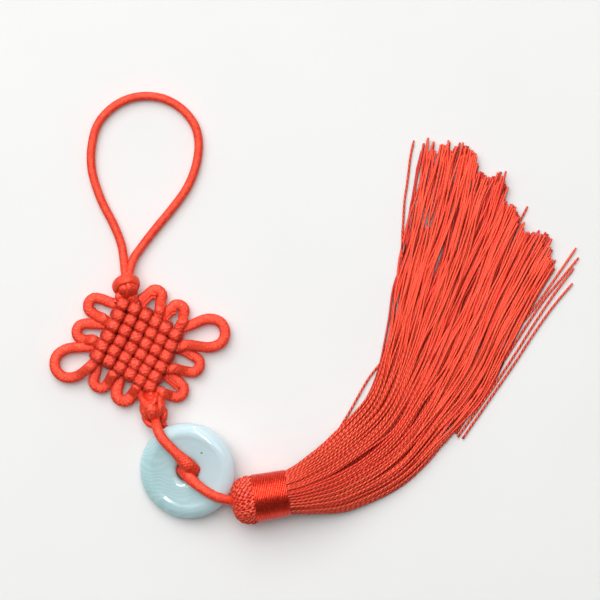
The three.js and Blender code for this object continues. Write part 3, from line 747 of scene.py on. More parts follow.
# Runs of cord over each button: widths, thickness and points from end to end.
UPPER_RUNS = table(
    "widths thick points",
    (3.3, 1.5, [(-55.1, 12.9, 2.4), (-54.7, 14.3, 3.8), (-55.2, 15.6, 5.7), (-57.0, 16.2, 7.2),
                (-59.1, 15.9, 7.3), (-60.8, 14.9, 6.4), (-61.7, 13.3, 4.7), (-61.1, 11.9, 3.0),
                (-59.7, 11.4, 2.0)]),
    (3.9, 1.5, [(-56.8, 15.5, 5.4), (-56.4, 14.5, 7.0), (-56.3, 13.1, 7.3), (-56.4, 11.8, 6.2),
                (-56.9, 11.0, 4.2), (-58.1, 11.5, 2.0)]),
    (2.7, 1.4, [(-59.4, 15.5, 5.0), (-59.2, 14.3, 6.8), (-59.1, 13.0, 7.1), (-59.1, 11.7, 5.9),
                (-59.1, 11.0, 4.0), (-58.6, 11.7, 2.0)]),
)
LOWER_RUNS = table(
    "widths thick points",
    ((1.8, 2.0, 2.8, 3.7, 3.8, 3.0, 2.4), 2.2,
     [(-53.5, -18.6, 4.4), (-53.3, -20.6, 5.8), (-52.4, -22.4, 7.0), (-50.9, -23.6, 8.1),
      (-49.7, -25.1, 8.1), (-49.4, -26.7, 6.6), (-49.5, -28.0, 4.6)]),
    ((1.2, 1.4, 1.6, 1.6, 1.4), 1.7,
     [(-49.1, -18.4, 4.8), (-48.9, -20.0, 6.4), (-49.3, -21.5, 7.5), (-49.9, -22.6, 7.7),
      (-50.4, -23.4, 6.8)]),
    (4.2, 2.4, [(-51.4, -16.6, 4.2), (-51.2, -18.6, 4.6), (-51.0, -20.4, 4.8),
                (-50.6, -22.6, 5.2)]),
    (2.9, 2.0, [(-48.5, -19.4, 4.0), (-47.7, -21.0, 5.8), (-47.3, -22.9, 6.8),
                (-47.4, -24.8, 6.5), (-48.0, -26.6, 4.8)]),
    (3.0, 2.0, [(-52.6, -20.8, 3.6), (-53.1, -22.6, 4.8), (-53.0, -24.6, 5.2),
                (-52.2, -26.4, 4.8), (-51.0, -27.7, 3.8)]),
    (2.3, 1.9, [(-52.9, -25.2, 2.8), (-52.4, -27.2, 3.8), (-51.4, -28.6, 4.4),
                (-50.1, -29.2, 4.4), (-49.2, -28.6, 3.8)]),
    (2.3, 1.9, [(-47.2, -23.4, 3.6), (-46.4, -24.8, 4.6), (-46.4, -26.4, 4.8),
                (-47.0, -27.7, 4.2), (-48.2, -28.2, 3.2)]),
)
BALL_SIDES, BALL_LEVELS = 28, 16
# A run's ends are this share of its size, and grow to the whole over this share of its length.
TUCKED_END, TUCKED_SHARE = 0.55, 0.22

CUT_TAIL = [(-49.0, -27.0, 3.4), (-47.9, -27.8, 3.8), (-46.8, -28.6, 3.8), (-45.6, -29.3, 3.4)]
CUT_LENGTH = 1.4
TAIL_WIDTH, TAIL_THICK, TAIL_TIP = 2.3, 1.6, 0.06

# Sharp folds along the inner side of some ears' legs.
FOLDS = (
    [(-48.9, 11.2, 3.0), (-50.5, 11.4, 3.2), (-52.3, 9.9, 3.3), (-54.1, 7.6, 3.3)],
    [(-49.0, 10.3, 2.8), (-50.3, 10.4, 3.0), (-51.8, 9.1, 3.1), (-53.4, 7.1, 3.1)],
    [(-42.8, 6.4, 3.0), (-44.1, 6.4, 3.2), (-45.8, 4.9, 3.3), (-47.2, 3.2, 3.3)],
    [(-42.8, 5.5, 2.8), (-44.0, 5.5, 2.9), (-45.4, 4.1, 3.1), (-46.5, 2.6, 3.1)],
    [(-40.0, 3.9, 3.3), (-40.5, 2.5, 4.3), (-41.2, 0.9, 5.1)],
    [(-41.9, -17.4, 3.0), (-43.5, -16.0, 3.2), (-45.3, -14.3, 3.3), (-46.0, -13.1, 3.3)],
    [(-42.4, -18.1, 2.8), (-43.9, -16.8, 2.9), (-45.8, -15.0, 3.1), (-46.5, -13.8, 3.1)],
    [(-37.6, -8.9, 3.0), (-39.5, -7.6, 3.2), (-41.3, -6.4, 3.3)],
)
FOLD_WIDTH, FOLD_THICK, FOLD_SIDES = 1.2, 1.0, 12


def ball(knot):
    """Rounded heart of a button knot, as one closed tube."""
    down = np.pi * (np.arange(BALL_LEVELS) + 0.5) / BALL_LEVELS
    turn = turns_round(BALL_SIDES)
    ring = np.stack([np.cos(turn), -np.sin(turn), np.zeros(BALL_SIDES)], axis=-1)
    rings = ring[None] * np.sin(down)[:, None, None] + UP * np.cos(down)[:, None, None]
    return (rings * np.array(knot.radii) * knot.heart + np.array(knot.centre),
            down * knot.radii[2])


def wound_run(knot, run):
    """A run of cord laid over a button, its flat side against it, its ends tucked in."""
    path, place = spline(run.points, RING_SPACING)
    out = unit((path - np.array(knot.centre)) / np.array(knot.radii) ** 2)
    across = np.cross(unit(np.gradient(path, axis=0)), out)
    spots = np.arange(len(run.points))
    width = np.interp(place, spots, np.broadcast_to(run.widths, len(spots)))
    share = place / spots[-1]
    tuck = mix(TUCKED_END, 1.0, smooth(0.0, TUCKED_SHARE, np.minimum(share, 1 - share)))
    rings = oval_rings(path, across, width * tuck, run.thick * tuck, CORD_SIDES)
    return plaited(rings, path), run_along(path)


def button(name, knot, runs):
    tubes = [ball(knot)] + [wound_run(knot, run) for run in runs]
    piece(tube_mesh(name, tubes), CORD, "pan_chang_knot")


button("upper_button_knot", UPPER_BUTTON, UPPER_RUNS)
button("lower_button_knot", LOWER_BUTTON, LOWER_RUNS)


def cut_tail():
    """The cord's short end, cut to a slant."""
    path, _ = spline(CUT_TAIL, RING_SPACING)
    along = run_along(path)
    width = TAIL_WIDTH * mix(TAIL_TIP, 1.0, np.clip((along[-1] - along) / CUT_LENGTH, 0, 1))
    rings = oval_rings(path, level_across(path), width, TAIL_THICK, CORD_SIDES)
    piece(tube_mesh("cut_tail", [(plaited(rings, path), along)]), CORD,
          "pan_chang_knot")


def ear_folds():
    tubes = []
    for points in FOLDS:
        path, _ = spline(points, RING_SPACING)
        rings = oval_rings(path, level_across(path), FOLD_WIDTH, FOLD_THICK, FOLD_SIDES, 1.0)
        tubes.append((rings, run_along(path)))
    piece(tube_mesh("ear_fold_ridges", tubes), CORD, "pan_chang_knot")


cut_tail()
ear_folds()


# Glass ring.

# Upper half of the ring's section, from the hole outward. The lower half mirrors it.
RING_SECTION = table(
    "radius height",
    (3.5, 0.0), (3.55, 0.55), (3.85, 1.15), (4.6, 1.6), (6.0, 1.85), (8.0, 2.0), (10.2, 2.22),
    (10.9, 2.36), (11.2, 2.42), (11.8, 2.4), (13.0, 2.12), (14.1, 1.5), (14.8, 0.75), (15.0, 0.0),
)
RING_STEPS = 180
SECTION_STEP = 0.3


def glass_ring():
    """The ring's section turned round its middle, and tipped to lie on the cord under it."""
    half = np.array([(row.radius, 0.0, row.height) for row in RING_SECTION])
    curve, _ = spline(half, SECTION_STEP)
    section = np.vstack([curve, curve[-2:0:-1] * [1, 1, -1]])
    turn = turns_round(RING_STEPS)
    axis = heading(RING.low - 90)
    tip = math.radians(-RING.tip)
    flat_points = np.stack([section[None, :, 0] * np.cos(turn)[:, None],
                            section[None, :, 0] * np.sin(turn)[:, None],
                            np.broadcast_to(section[None, :, 2], (RING_STEPS, len(section)))], -1)
    tipped = (flat_points * math.cos(tip) + np.cross(axis, flat_points) * math.sin(tip)
              + axis * dot(flat_points, axis) * (1 - math.cos(tip)))
    places = (tipped.reshape(-1, 3) + [RING.x, RING.y, RING.z] + PLAN_SHIFT) * MM
    n = len(section)
    faces = []
    for k in range(RING_STEPS):
        here, there = k * n, (k + 1) % RING_STEPS * n
        faces += [(here + i, there + i, there + (i + 1) % n, here + (i + 1) % n)
                  for i in range(n)]
    mesh = bpy.data.meshes.new("glass_ring_polished")
    mesh.from_pydata([tuple(p) for p in places], [], faces)
    mesh.polygons.foreach_set("use_smooth", np.ones(len(faces), bool))
    return mesh


piece(glass_ring(), milky_glass(), "glass_ring")


# Tassel head.

# Middle of the neck's near end, the way that the head's axis points, and its flattening.
HEAD = SimpleNamespace(at=np.array([-18.8, -51.7, 6.75]), turn=10.3, squash=0.95)
HEAD_ALONG = heading(HEAD.turn)
HEAD_SIDE = heading(HEAD.turn + 90)
HEAD_PROFILE = table(
    "along radius shift",
    (-6.8, 1.6, -0.6), (-6.5, 3.2, -0.6), (-5.6, 5.1, -0.5), (-4.2, 6.5, -0.4),
    (-2.6, 7.1, -0.2), (-1.2, 7.3, -0.1), (-0.3, 7.2, 0.0), (0.5, 6.8, 0.0),
)
HEAD_SIDES = 64


def head_place(along, side, up):
    """Place of a point given along, across and above the head's axis."""
    return (HEAD.at + HEAD_ALONG * np.asarray(along)[..., None]
            + HEAD_SIDE * np.asarray(side)[..., None]
            + UP * HEAD.squash * np.asarray(up)[..., None])


def round_core(name, profile, inset, lowest):
    """Solid of revolution on the head's axis, inset from a profile and flat on the floor."""
    turn = -turns_round(HEAD_SIDES)
    rings = np.array([head_place(np.full(HEAD_SIDES, row.along),
                                 row.shift + (row.radius - inset) * np.cos(turn),
                                 (row.radius - inset) * np.sin(turn)) for row in profile])
    rings[..., 2] = np.maximum(rings[..., 2], lowest)
    return tube_mesh(name, [(rings, np.array([row.along for row in profile]))])


def node_tree(name, **sizes):
    """Geometry tree with named inputs. Gives its inputs, a maker of nodes, and what ends it."""
    tree = bpy.data.node_groups.new(name, "GeometryNodeTree")
    tree.interface.new_socket("Geometry", in_out="INPUT", socket_type="NodeSocketGeometry")
    for label, value in sizes.items():
        kind = "NodeSocketInt" if isinstance(value, int) else "NodeSocketFloat"
        socket = tree.interface.new_socket(label.replace("_", " "), in_out="INPUT",
                                           socket_type=kind)
        socket.default_value = value
    tree.interface.new_socket("Geometry", in_out="OUTPUT", socket_type="NodeSocketGeometry")
    start, end = tree.nodes.new("NodeGroupInput"), tree.nodes.new("NodeGroupOutput")

    def add(kind, settings=None, sockets=None):
        made = tree.nodes.new(kind)
        for key, value in (settings or {}).items():
            setattr(made, key, value)
        for key, value in (sockets or {}).items():
            if isinstance(value, bpy.types.NodeSocket):
                tree.links.new(value, made.inputs[key])
            else:
                made.inputs[key].default_value = value
        return made.outputs

    def close(solid, finish, scale, *turns):
        solid = add("GeometryNodeTransform", None, {"Geometry": solid, "Scale": scale})[0]
        for turn in turns:
            solid = add("GeometryNodeTransform", None, {"Geometry": solid, "Rotation": turn})[0]
        solid = add("GeometryNodeRealizeInstances", None, {"Geometry": solid})[0]
        solid = add("GeometryNodeSetMaterial", None, {"Geometry": solid, "Material": finish})[0]
        tree.links.new(solid, end.inputs["Geometry"])
        return tree

    return start.outputs, add, close


def grown(name, mesh, tree, settings):
    """Runs a geometry tree on a mesh and keeps the result as a plain mesh."""
    obj = in_scene(name + "_seed", mesh)
    modifier = obj.modifiers.new("grow", "NODES")
    modifier.node_group = tree
    sockets = {item.name: item.identifier for item in tree.interface.items_tree
               if item.in_out == "INPUT"}
    for label, value in settings.items():
        modifier[sockets[label]] = value
    graph = bpy.context.evaluated_depsgraph_get()
    graph.update()
    made = bpy.data.meshes.new_from_object(obj.evaluated_get(graph))
    made.name = name
    bpy.data.objects.remove(obj)
    return made


def thread_winding_tree(finish):
    """A thread wound closely along a neck that lies on its side."""
    given, add, close = node_tree("thread winding", Turns=40.0, Steps=64, Start_Radius=1.0,
                                  End_Radius=1.0, Length=1.0, Thread=0.1, Squash=1.0,
                                  Heading=0.0, Unevenness=0.0)
    coil = add("GeometryNodeCurveSpiral", None, {
        "Resolution": given["Steps"], "Rotations": given["Turns"],
        "Start Radius": given["Start Radius"], "End Radius": given["End Radius"],
        "Height": given["Length"]})["Curve"]
    waver = add("ShaderNodeTexNoise", {"noise_dimensions": "3D"}, {"Scale": WAVER_SCALE})["Color"]
    centred = add("ShaderNodeVectorMath", {"operation": "SUBTRACT"},
                  {0: waver, 1: (0.5, 0.5, 0.5)})["Vector"]
    offset = add("ShaderNodeVectorMath", {"operation": "SCALE"},
                 {0: centred, "Scale": given["Unevenness"]})["Vector"]
    coil = add("GeometryNodeSetPosition", None, {"Geometry": coil, "Offset": offset})["Geometry"]
    section = add("GeometryNodeCurvePrimitiveCircle", {"mode": "RADIUS"},
                  {"Resolution": THREAD_SIDES, "Radius": given["Thread"]})["Curve"]
    body = add("GeometryNodeCurveToMesh", None,
               {"Curve": coil, "Profile Curve": section, "Fill Caps": True})["Mesh"]
    parts = add("ShaderNodeSeparateXYZ", None, {0: add("GeometryNodeInputPosition")[0]})
    reach = add("ShaderNodeVectorMath", {"operation": "LENGTH"}, {
        0: add("ShaderNodeCombineXYZ", None, {"X": parts["X"], "Y": parts["Y"]})[0]})["Value"]
    centre = add("ShaderNodeMapRange", None, {
        "Value": parts["Z"], "From Min": 0.0, "From Max": given["Length"],
        "To Min": given["Start Radius"], "To Max": given["End Radius"]})["Result"]
    proud = add("ShaderNodeMath", {"operation": "SUBTRACT"}, {0: reach, 1: centre})[0]
    proud = add("ShaderNodeMath", {"operation": "DIVIDE"}, {0: proud, 1: given["Thread"]})[0]
    # The tone is how far a point stands out from the thread's middle, and sets the painted shade
    # between turns.
    body = add("GeometryNodeStoreNamedAttribute", {"data_type": "FLOAT", "domain": "POINT"}, {
        "Geometry": body, "Name": "tone", "Value": proud})["Geometry"]
    flat = add("ShaderNodeCombineXYZ", None, {"X": given["Squash"], "Y": 1.0, "Z": 1.0})["Vector"]
    turn = add("ShaderNodeCombineXYZ", None, {"Z": given["Heading"]})["Vector"]
    return close(body, finish, flat, (0.0, math.pi / 2, 0.0), turn)


BINDING_LENGTH = 11.1
BINDING_START, BINDING_END = 7.2, 6.9
THREAD = 0.55
THREAD_SIDES = 8
STEPS_A_TURN = 90
UNEVENNESS = 0.1
WAVER_SCALE = 900.0
BINDING_CORE = table(
    "along radius shift",
    (0.02, 6.7, 0.0), (0.1, 6.9, 0.0), (0.5, 7.1, 0.0), (10.6, 6.85, 0.0), (11.0, 6.65, 0.0),
    (11.08, 6.4, 0.0),
)


def place_mesh(mesh, at, lowest):
    """Moves a mesh to a plan place and lets it settle on the floor."""
    co = np.empty(len(mesh.vertices) * 3, np.float32)
    mesh.vertices.foreach_get("co", co)
    co = co.reshape(-1, 3) + (np.asarray(at) + PLAN_SHIFT) * MM
    co[:, 2] = np.maximum(co[:, 2], lowest * MM)
    mesh.vertices.foreach_set("co", co.astype(np.float32).reshape(-1))
    mesh.update()


def neck_binding():
    """Close turns of glossy thread, over a core painted dark as shade, which shows between them.
    """
    finish = wound_thread()
    mesh = grown("binding_thread", bpy.data.meshes.new("binding_seed"),
                 thread_winding_tree(finish), {
        "Turns": BINDING_LENGTH / THREAD - 1, "Steps": STEPS_A_TURN,
        "Start Radius": BINDING_START * MM, "End Radius": BINDING_END * MM,
        "Length": (BINDING_LENGTH - THREAD) * MM, "Thread": THREAD / 2 * MM,
        "Squash": HEAD.squash, "Heading": math.radians(HEAD.turn),
        "Unevenness": UNEVENNESS * MM})
    place_mesh(mesh, HEAD.at + HEAD_ALONG * THREAD / 2, 0.01)
    mesh.polygons.foreach_set("use_smooth", np.ones(len(mesh.polygons), bool))
    piece(mesh, finish, "tassel_binding")
    piece(round_core("binding_under_turns", BINDING_CORE, 0.0, 0.06), shade_painted_core(),
          "tassel_binding")


neck_binding()


DOME_STRANDS = 44
STRANDS_IN_SEED = 11
PLY_PITCH = 1.8
PLY_SWELL = 0.34
DOME_STEP = 0.18
DOME_INSET = 0.3
# How far a strand leans round the head from its neck to its tip, in radians.
DOME_LEAN = 0.25
# A strand's width as a share of its place round the head, its thickness as a share of its width,
# and its sideways scatter as a share of its place.
DOME_WIDTH, DOME_THICK, DOME_SCATTER = 1.25, 1.1, 0.35
DOME_THICKEST = 1.0
DOME_SIDES = 10
# The dome lies this far to one side of the neck's axis.
DOME_SHIFT = -0.2
HEART_INSET, HEART_SETBACK = 0.55, 0.25


def two_ply(rings, path, along, pitch, swell):
    """Gives a round strand the turning two-lobed section of two plies twisted together."""
    turn = turns_round(rings.shape[1])
    lobe = np.cos(2 * turn[None, :] - FULL_TURN * (along / pitch)[:, None])
    return path[:, None] + (rings - path[:, None]) * (1 + swell * lobe)[..., None]


def dome_strand_tree(finish):
    """A group of strands repeated round the head's axis."""
    given, add, close = node_tree("folded strands", Count=5, Squash=1.0, Heading=0.0)
    points = add("GeometryNodePoints", None, {"Count": given["Count"]})[0]
    index = add("GeometryNodeInputIndex")[0]
    share = add("ShaderNodeMath", {"operation": "DIVIDE"}, {0: index, 1: given["Count"]})[0]
    angle = add("ShaderNodeMath", {"operation": "MULTIPLY"}, {0: share, 1: FULL_TURN})[0]
    turn = add("ShaderNodeCombineXYZ", None, {"X": angle})["Vector"]
    copies = add("GeometryNodeInstanceOnPoints", None, {
        "Points": points, "Instance": given["Geometry"], "Rotation": turn})["Instances"]
    flat = add("ShaderNodeCombineXYZ", None, {"X": 1.0, "Y": 1.0, "Z": given["Squash"]})["Vector"]
    turned = add("ShaderNodeCombineXYZ", None, {"Z": given["Heading"]})["Vector"]
    return close(copies, finish, flat, turned)


def tassel_dome():
    """Strands folded over the head, over a heart painted dark as shade that fills it and the neck.
    """
    # The folded strands' finish paints shade in the ply grooves and a highlight on the ply crests.
    finish = twisted_strand(
        "folded tassel strand", PLY_PITCH, groove_shade=(0.20, 0.004, 0.005),
        body=(0.88, 0.034, 0.014), crest_highlight=(1.0, 0.125, 0.045), ply_depth=0.1)
    path, _ = spline([(row.along, 0.0, row.radius - DOME_INSET) for row in HEAD_PROFILE],
                     DOME_STEP)
    across = np.broadcast_to(np.array([0.0, 1.0, 0.0]), path.shape)
    width = FULL_TURN * path[:, 2] / DOME_STRANDS * DOME_WIDTH
    thick = np.minimum(width * DOME_THICK, DOME_THICKEST)
    lean = DOME_LEAN * (path[:, 0] - path[-1, 0]) / (path[0, 0] - path[-1, 0])
    rng = np.random.default_rng(5)
    tubes = []
    for k in range(STRANDS_IN_SEED):
        along = run_along(path) + rng.random() * PLY_PITCH
        rings = oval_rings(path, across, width, thick, DOME_SIDES, 1.0)
        rings = two_ply(rings, path, along, PLY_PITCH, PLY_SWELL)
        turn = FULL_TURN * (k + DOME_SCATTER * rng.random()) / DOME_STRANDS + lean
        c, s = np.cos(turn)[:, None], np.sin(turn)[:, None]
        y, z = rings[..., 1].copy(), rings[..., 2].copy()
        rings[..., 1], rings[..., 2] = y * c - z * s, y * s + z * c
        tubes.append((rings - PLAN_SHIFT, along))
    seed = tube_mesh("folded_strand_seed", tubes, rng.random(STRANDS_IN_SEED))
    mesh = grown("folded_strands", seed, dome_strand_tree(finish), {
        "Count": DOME_STRANDS // STRANDS_IN_SEED, "Squash": HEAD.squash,
        "Heading": math.radians(HEAD.turn)})
    place_mesh(mesh, HEAD.at + HEAD_SIDE * DOME_SHIFT, 0.02)
    piece(mesh, finish, "tassel")
    heart = table("along radius shift", *(
        (row.along + HEART_SETBACK, row.radius, DOME_SHIFT) for row in HEAD_PROFILE),
        (BINDING_LENGTH + 0.2, 6.6, 0.0))
    piece(round_core("head_heart", heart, HEART_INSET, 0.3), shade_painted_core(),
          "tassel")


tassel_dome()


# Tassel skirt.

# Sections of the skirt at fractions of its length: its left and right edges in plan, how far its
# middle bulges forward, half its depth, and how far it has settled from the neck to the floor.
SKIRT = table(
    "f lx ly rx ry bulge half settle",
    (0.0, -9.0, -43.2, -6.8, -56.3, 0.0, 6.6, 0.0),
    (0.06, -4.8, -40.7, -0.2, -56.4, 0.2, 5.2, 0.2),
    (0.15, 4.6, -33.2, 10.8, -55.6, 0.6, 3.9, 0.65),
    (0.3, 16.6, -19.9, 27.2, -48.0, 2.0, 2.8, 1.0),
    (0.45, 21.5, -3.6, 40.2, -35.6, 3.6, 2.2, 1.0),
    (0.6, 24.4, 13.2, 51.4, -22.4, 5.0, 1.9, 1.0),
    (0.8, 28.8, 35.8, 64.0, -2.6, 6.8, 1.55, 1.0),
    (1.0, 30.9, 58.8, 80.8, 18.4, 8.4, 1.2, 1.0),
)
# How far the strands reach, by place across the skirt from its left edge to its right.
ENDS = table(
    "u reach",
    (-1.05, 0.993), (-0.94, 1.01), (-0.82, 0.999), (-0.76, 1.012), (-0.69, 1.0), (-0.66, 1.018),
    (-0.54, 1.01), (-0.47, 1.002), (-0.4, 0.976), (-0.29, 0.97), (-0.23, 0.976), (-0.18, 1.001),
    (-0.1, 1.012), (-0.04, 0.988), (-0.01, 0.957), (0.08, 0.962), (0.18, 0.966), (0.26, 0.957),
    (0.38, 0.958), (0.49, 0.953), (0.58, 0.978), (0.64, 0.987), (0.76, 0.996), (0.83, 0.991),
    (0.89, 0.97), (1.0, 0.96),
)
# The scatter turns this into a few more, 272 strands in all.
STRANDS = 262
STRAND_RADIUS = 0.355
STRAND_SIDES = 6
STRAND_STEPS = 96
# Height of a strand's middle where it lies on the floor.
FLOOR_LINE = STRAND_RADIUS + 0.02
UNDER_SHARE = 0.4
# A cut end is drawn in by this share over this length.
END_DRAWN, END_LENGTH = 0.3, 0.12
BULGE_SKEW = 0.45
RIGHT_NARROWING, LEFT_NARROWING = 0.2, 0.07

# Strands gather into clumps, each strand with its own pull, over a stretch of the skirt.
CLUMPS = 46
CLUMP_PULL, CLUMP_PULL_SPREAD = 0.3, 0.5
CLUMP_START, CLUMP_END = 0.12, 0.95
CLUMP_ACROSS, CLUMP_THROUGH = 0.75, 0.3
# They waver from side to side: share of the skirt's half width, and waves along its length.
WAVERS = table("size waves", (0.034, 1.1), (0.018, 2.7), (0.004, 7.3))
# A few drift far from their place: this times the cube of a number from -1/2 to 1/2.
DRIFT = 2.2
# How far the longest strands reach past the table, and how ragged the cut is, as shares of the
# skirt's length. The power keeps most strands near the longest.
REACH_PAST, RAGGED, RAGGED_POWER = 0.005, 0.036, 1.6
# A strand's rings crowd toward its root by a power: the first value plus up to the second.
CROWDING, CROWDING_SPREAD = 1.02, 0.2
# The twist's pace differs from strand to strand, and so does its start, by up to these turns.
PACE, PACE_SPREAD = 0.88, 0.24
LAY_TURNS = 9
# A root goes this deep into the binding, and this share of the way to the neck's axis.
ROOT_DEPTH, ROOT_INSET = 1.5, 0.12

# A push fades over this share of the half width, and moves strands above this share of the half
# depth.
PARTING_SPREAD = 0.09
PARTED_ABOVE = 0.1
# Partings between the upper strands: place across and along, and their length and width.
PARTINGS = table(
    "u f length width",
    (-0.1, 0.2, 0.07, 0.06), (0.18, 0.42, 0.09, 0.05), (-0.35, 0.5, 0.1, 0.05),
    (0.38, 0.62, 0.1, 0.05), (0.0, 0.74, 0.1, 0.045), (-0.55, 0.72, 0.1, 0.04),
    (0.5, 0.33, 0.07, 0.04), (-0.2, 0.9, 0.08, 0.05), (0.3, 0.88, 0.08, 0.04),
    (-0.15, 0.33, 0.06, 0.045), (-0.62, 0.36, 0.08, 0.03), (0.1, 0.57, 0.07, 0.04),
)


def skirt_at(f):
    """The skirt's section at fractions along it, carried on straight past its end."""
    at, *columns = np.array([list(vars(row).values()) for row in SKIRT]).T
    names, value = list(vars(SKIRT[0]))[1:], np.array(columns).T
    slope = np.empty_like(value)
    slope[0] = (value[1] - value[0]) / (at[1] - at[0])
    slope[-1] = (value[-1] - value[-2]) / (at[-1] - at[-2])
    slope[1:-1] = (value[2:] - value[:-2]) / (at[2:] - at[:-2])[:, None]
    k = np.clip(np.searchsorted(at, f) - 1, 0, len(at) - 2)
    span = (at[k + 1] - at[k])[..., None]
    t = np.clip((f - at[k])[..., None] / span, 0, 1)
    past = np.maximum(f - 1, 0)[..., None]
    section = (hermite(t, value[k], value[k + 1], span * slope[k], span * slope[k + 1])
               + past * slope[-1])
    return SimpleNamespace(**dict(zip(names, np.moveaxis(section, -1, 0))))


def skirt_place(u, v, f):
    """Place in the skirt: u across it, v through its depth, f along it."""
    s = skirt_at(f)
    level = np.zeros_like(f)
    left = np.stack([s.lx, s.ly, level], -1)
    across = np.stack([s.rx, s.ry, level], -1) - left
    forward = unit(np.cross(UP, across))
    swell = s.bulge * (1 - u * u) * (1 - BULGE_SKEW * u)
    at = left + across * ((1 + u) / 2)[..., None] + forward * swell[..., None]
    rim = np.sqrt(np.maximum(0, 1 - u * u))
    settle = np.clip(s.settle, 0, 1)
    settled = FLOOR_LINE + s.half * (v + rim)
    held = mix(HEAD.at[2], FLOOR_LINE + s.half, settle) + v * s.half
    at[..., 2] = np.maximum(mix(held, settled, settle), FLOOR_LINE)
    return at


def scatter(count, phase):
    """Even scatter of at least so many points over the unit circle."""
    total = math.ceil(count * 4 / math.pi) + 8
    i = np.arange(total)
    u = 2 * (i + 0.5) / total - 1
    v = 2 * ((i * GOLDEN + phase) % 1) - 1
    inside = u * u + v * v < 1
    return u[inside], v[inside]


def strand_tube(path, lay=0.0, pace=1.0):
    """A strand's tube, its cut end a little rounded, with its own start and pace of twist."""
    along = run_along(path)
    left = along[-1] - along
    width = 2 * STRAND_RADIUS * (1 - END_DRAWN * (1 - smooth(0.0, END_LENGTH, left)))
    rings = oval_rings(path, level_across(path), width, width, STRAND_SIDES, 1.0)
    return rings, along * pace + lay


def parted(side, f, upper):
    """Pushes the upper strands apart at each parting, the nearest ones most."""
    strands = np.arange(len(side))
    for gap in PARTINGS:
        away = side[strands, np.abs(f - gap.f).argmin(1)][:, None] - gap.u
        push = (np.sign(away) * np.exp(-np.abs(away) / PARTING_SPREAD)
                * np.exp(-((f - gap.f) / gap.length) ** 2))
        side = side + np.where(upper, gap.width, 0.0) * push
    return side


def skirt_strands():
    rng = np.random.default_rng(11)
    u, v = scatter(STRANDS, 0.31)
    count = len(u)
    clump_u, clump_v = scatter(CLUMPS, 0.1)
    nearest = ((u[:, None] - clump_u) ** 2 * 9 + (v[:, None] - clump_v) ** 2).argmin(1)
    pull = CLUMP_PULL + CLUMP_PULL_SPREAD * rng.random(count)
    to_clump_u = ((clump_u[nearest] - u) * pull)[:, None] * CLUMP_ACROSS
    to_clump_v = ((clump_v[nearest] - v) * pull)[:, None] * CLUMP_THROUGH
    drift = (rng.random(count) - 0.5) ** 3 * DRIFT
    phases = rng.random((count, len(WAVERS))) * FULL_TURN

    def side_at(f):
        """Each strand's place across the skirt at fractions along it."""
        wander = sum(row.size * np.sin(FULL_TURN * row.waves * f + phase[:, None])
                     for row, phase in zip(WAVERS, phases.T))
        side = (u[:, None] + to_clump_u * smooth(CLUMP_START, CLUMP_END, f)
                + wander * smooth(0.03, 0.5, f) + drift[:, None] * smooth(0.1, 1.0, f))
        return np.clip(side, -1.02, 1.02)

    at_end = side_at(np.ones((count, 1)))[:, 0]
    reach = np.interp(at_end, [row.u for row in ENDS], [row.reach for row in ENDS])
    reach = reach + REACH_PAST - rng.random(count) ** RAGGED_POWER * RAGGED
    # The last ring lies just past the cut, and closes it.
    steps = np.concatenate([np.linspace(0, 1, STRAND_STEPS), [1.001]])
    crowding = CROWDING + CROWDING_SPREAD * rng.random(count)
    f = reach[:, None] * steps[None, :] ** crowding[:, None]
    side = parted(side_at(f), f, v[:, None] > PARTED_ABOVE)
    side *= 1 - np.where(side > 0, RIGHT_NARROWING, LEFT_NARROWING) * smooth(0.6, 1.0, f)
    depth = v[:, None] + to_clump_v * smooth(CLUMP_START, CLUMP_END, f)
    places = skirt_place(side, depth, f)
    neck = HEAD.at + HEAD_ALONG * BINDING_LENGTH
    root = mix(places[:, :1], neck, ROOT_INSET) - HEAD_ALONG * ROOT_DEPTH
    paths = np.concatenate([root, places], axis=1)
    tones, lays = rng.random(count), rng.random(count) * STRAND_TWIST * LAY_TURNS
    paces = PACE + PACE_SPREAD * rng.random(count)
    order = np.argsort(v)
    under = int(count * UNDER_SHARE)
    # The lower strands take the darker copy of the finish, as painted shade.
    for name, chosen, finish in (("skirt_lower_strands", order[:under], UNDER_STRAND_PAINTED_SHADE),
                                 ("skirt_upper_strands", order[under:], STRAND)):
        tubes = [strand_tube(paths[i], lays[i], paces[i]) for i in chosen]
        piece(tube_mesh(name, tubes, tones[chosen]), finish, "tassel")


skirt_strands()

# Strands that have strayed from the rest: their tone, and points in plan.
STRAY_STEP = 1.3
STRAYS = table(
    "tone points",
    (0.4, [(28.5, 9.0), (27.4, 17.0), (27.2, 24.5), (27.4, 31.3), (27.7, 36.0), (28.0, 40.6),
           (28.7, 45.3), (29.3, 49.9), (29.9, 54.6), (30.9, 59.2)]),
    (0.8, [(42.0, -33.0), (50.0, -20.5), (57.0, -9.0), (63.3, 0.6), (68.8, 7.8), (74.3, 15.6),
           (81.3, 25.8)]),
    (0.3, [(44.0, -32.0), (52.5, -19.0), (60.0, -7.6), (66.5, 2.6), (71.6, 10.0), (77.1, 16.7),
           (82.1, 22.8)]),
    (0.6, [(44.5, -33.0), (53.5, -20.5), (61.5, -8.5), (68.5, 2.6), (74.3, 11.2),
           (80.6, 19.5)]),
    (0.5, [(46.0, -33.5), (55.0, -20.5), (62.5, -9.6), (68.8, 0.1), (74.3, 7.8), (80.2, 14.8)]),
    (0.7, [(5.0, -36.0), (8.0, -30.0), (11.0, -25.0), (13.5, -20.5), (17.0, -14.5),
           (20.6, -9.9)]),
    (0.4, [(52.0, 6.0), (56.0, 16.5), (60.0, 26.0), (63.5, 33.3), (66.2, 38.7)]),
    (0.6, [(53.0, -13.0), (58.0, -5.0), (63.0, 2.9), (68.5, 11.7), (74.9, 22.0)]),
)


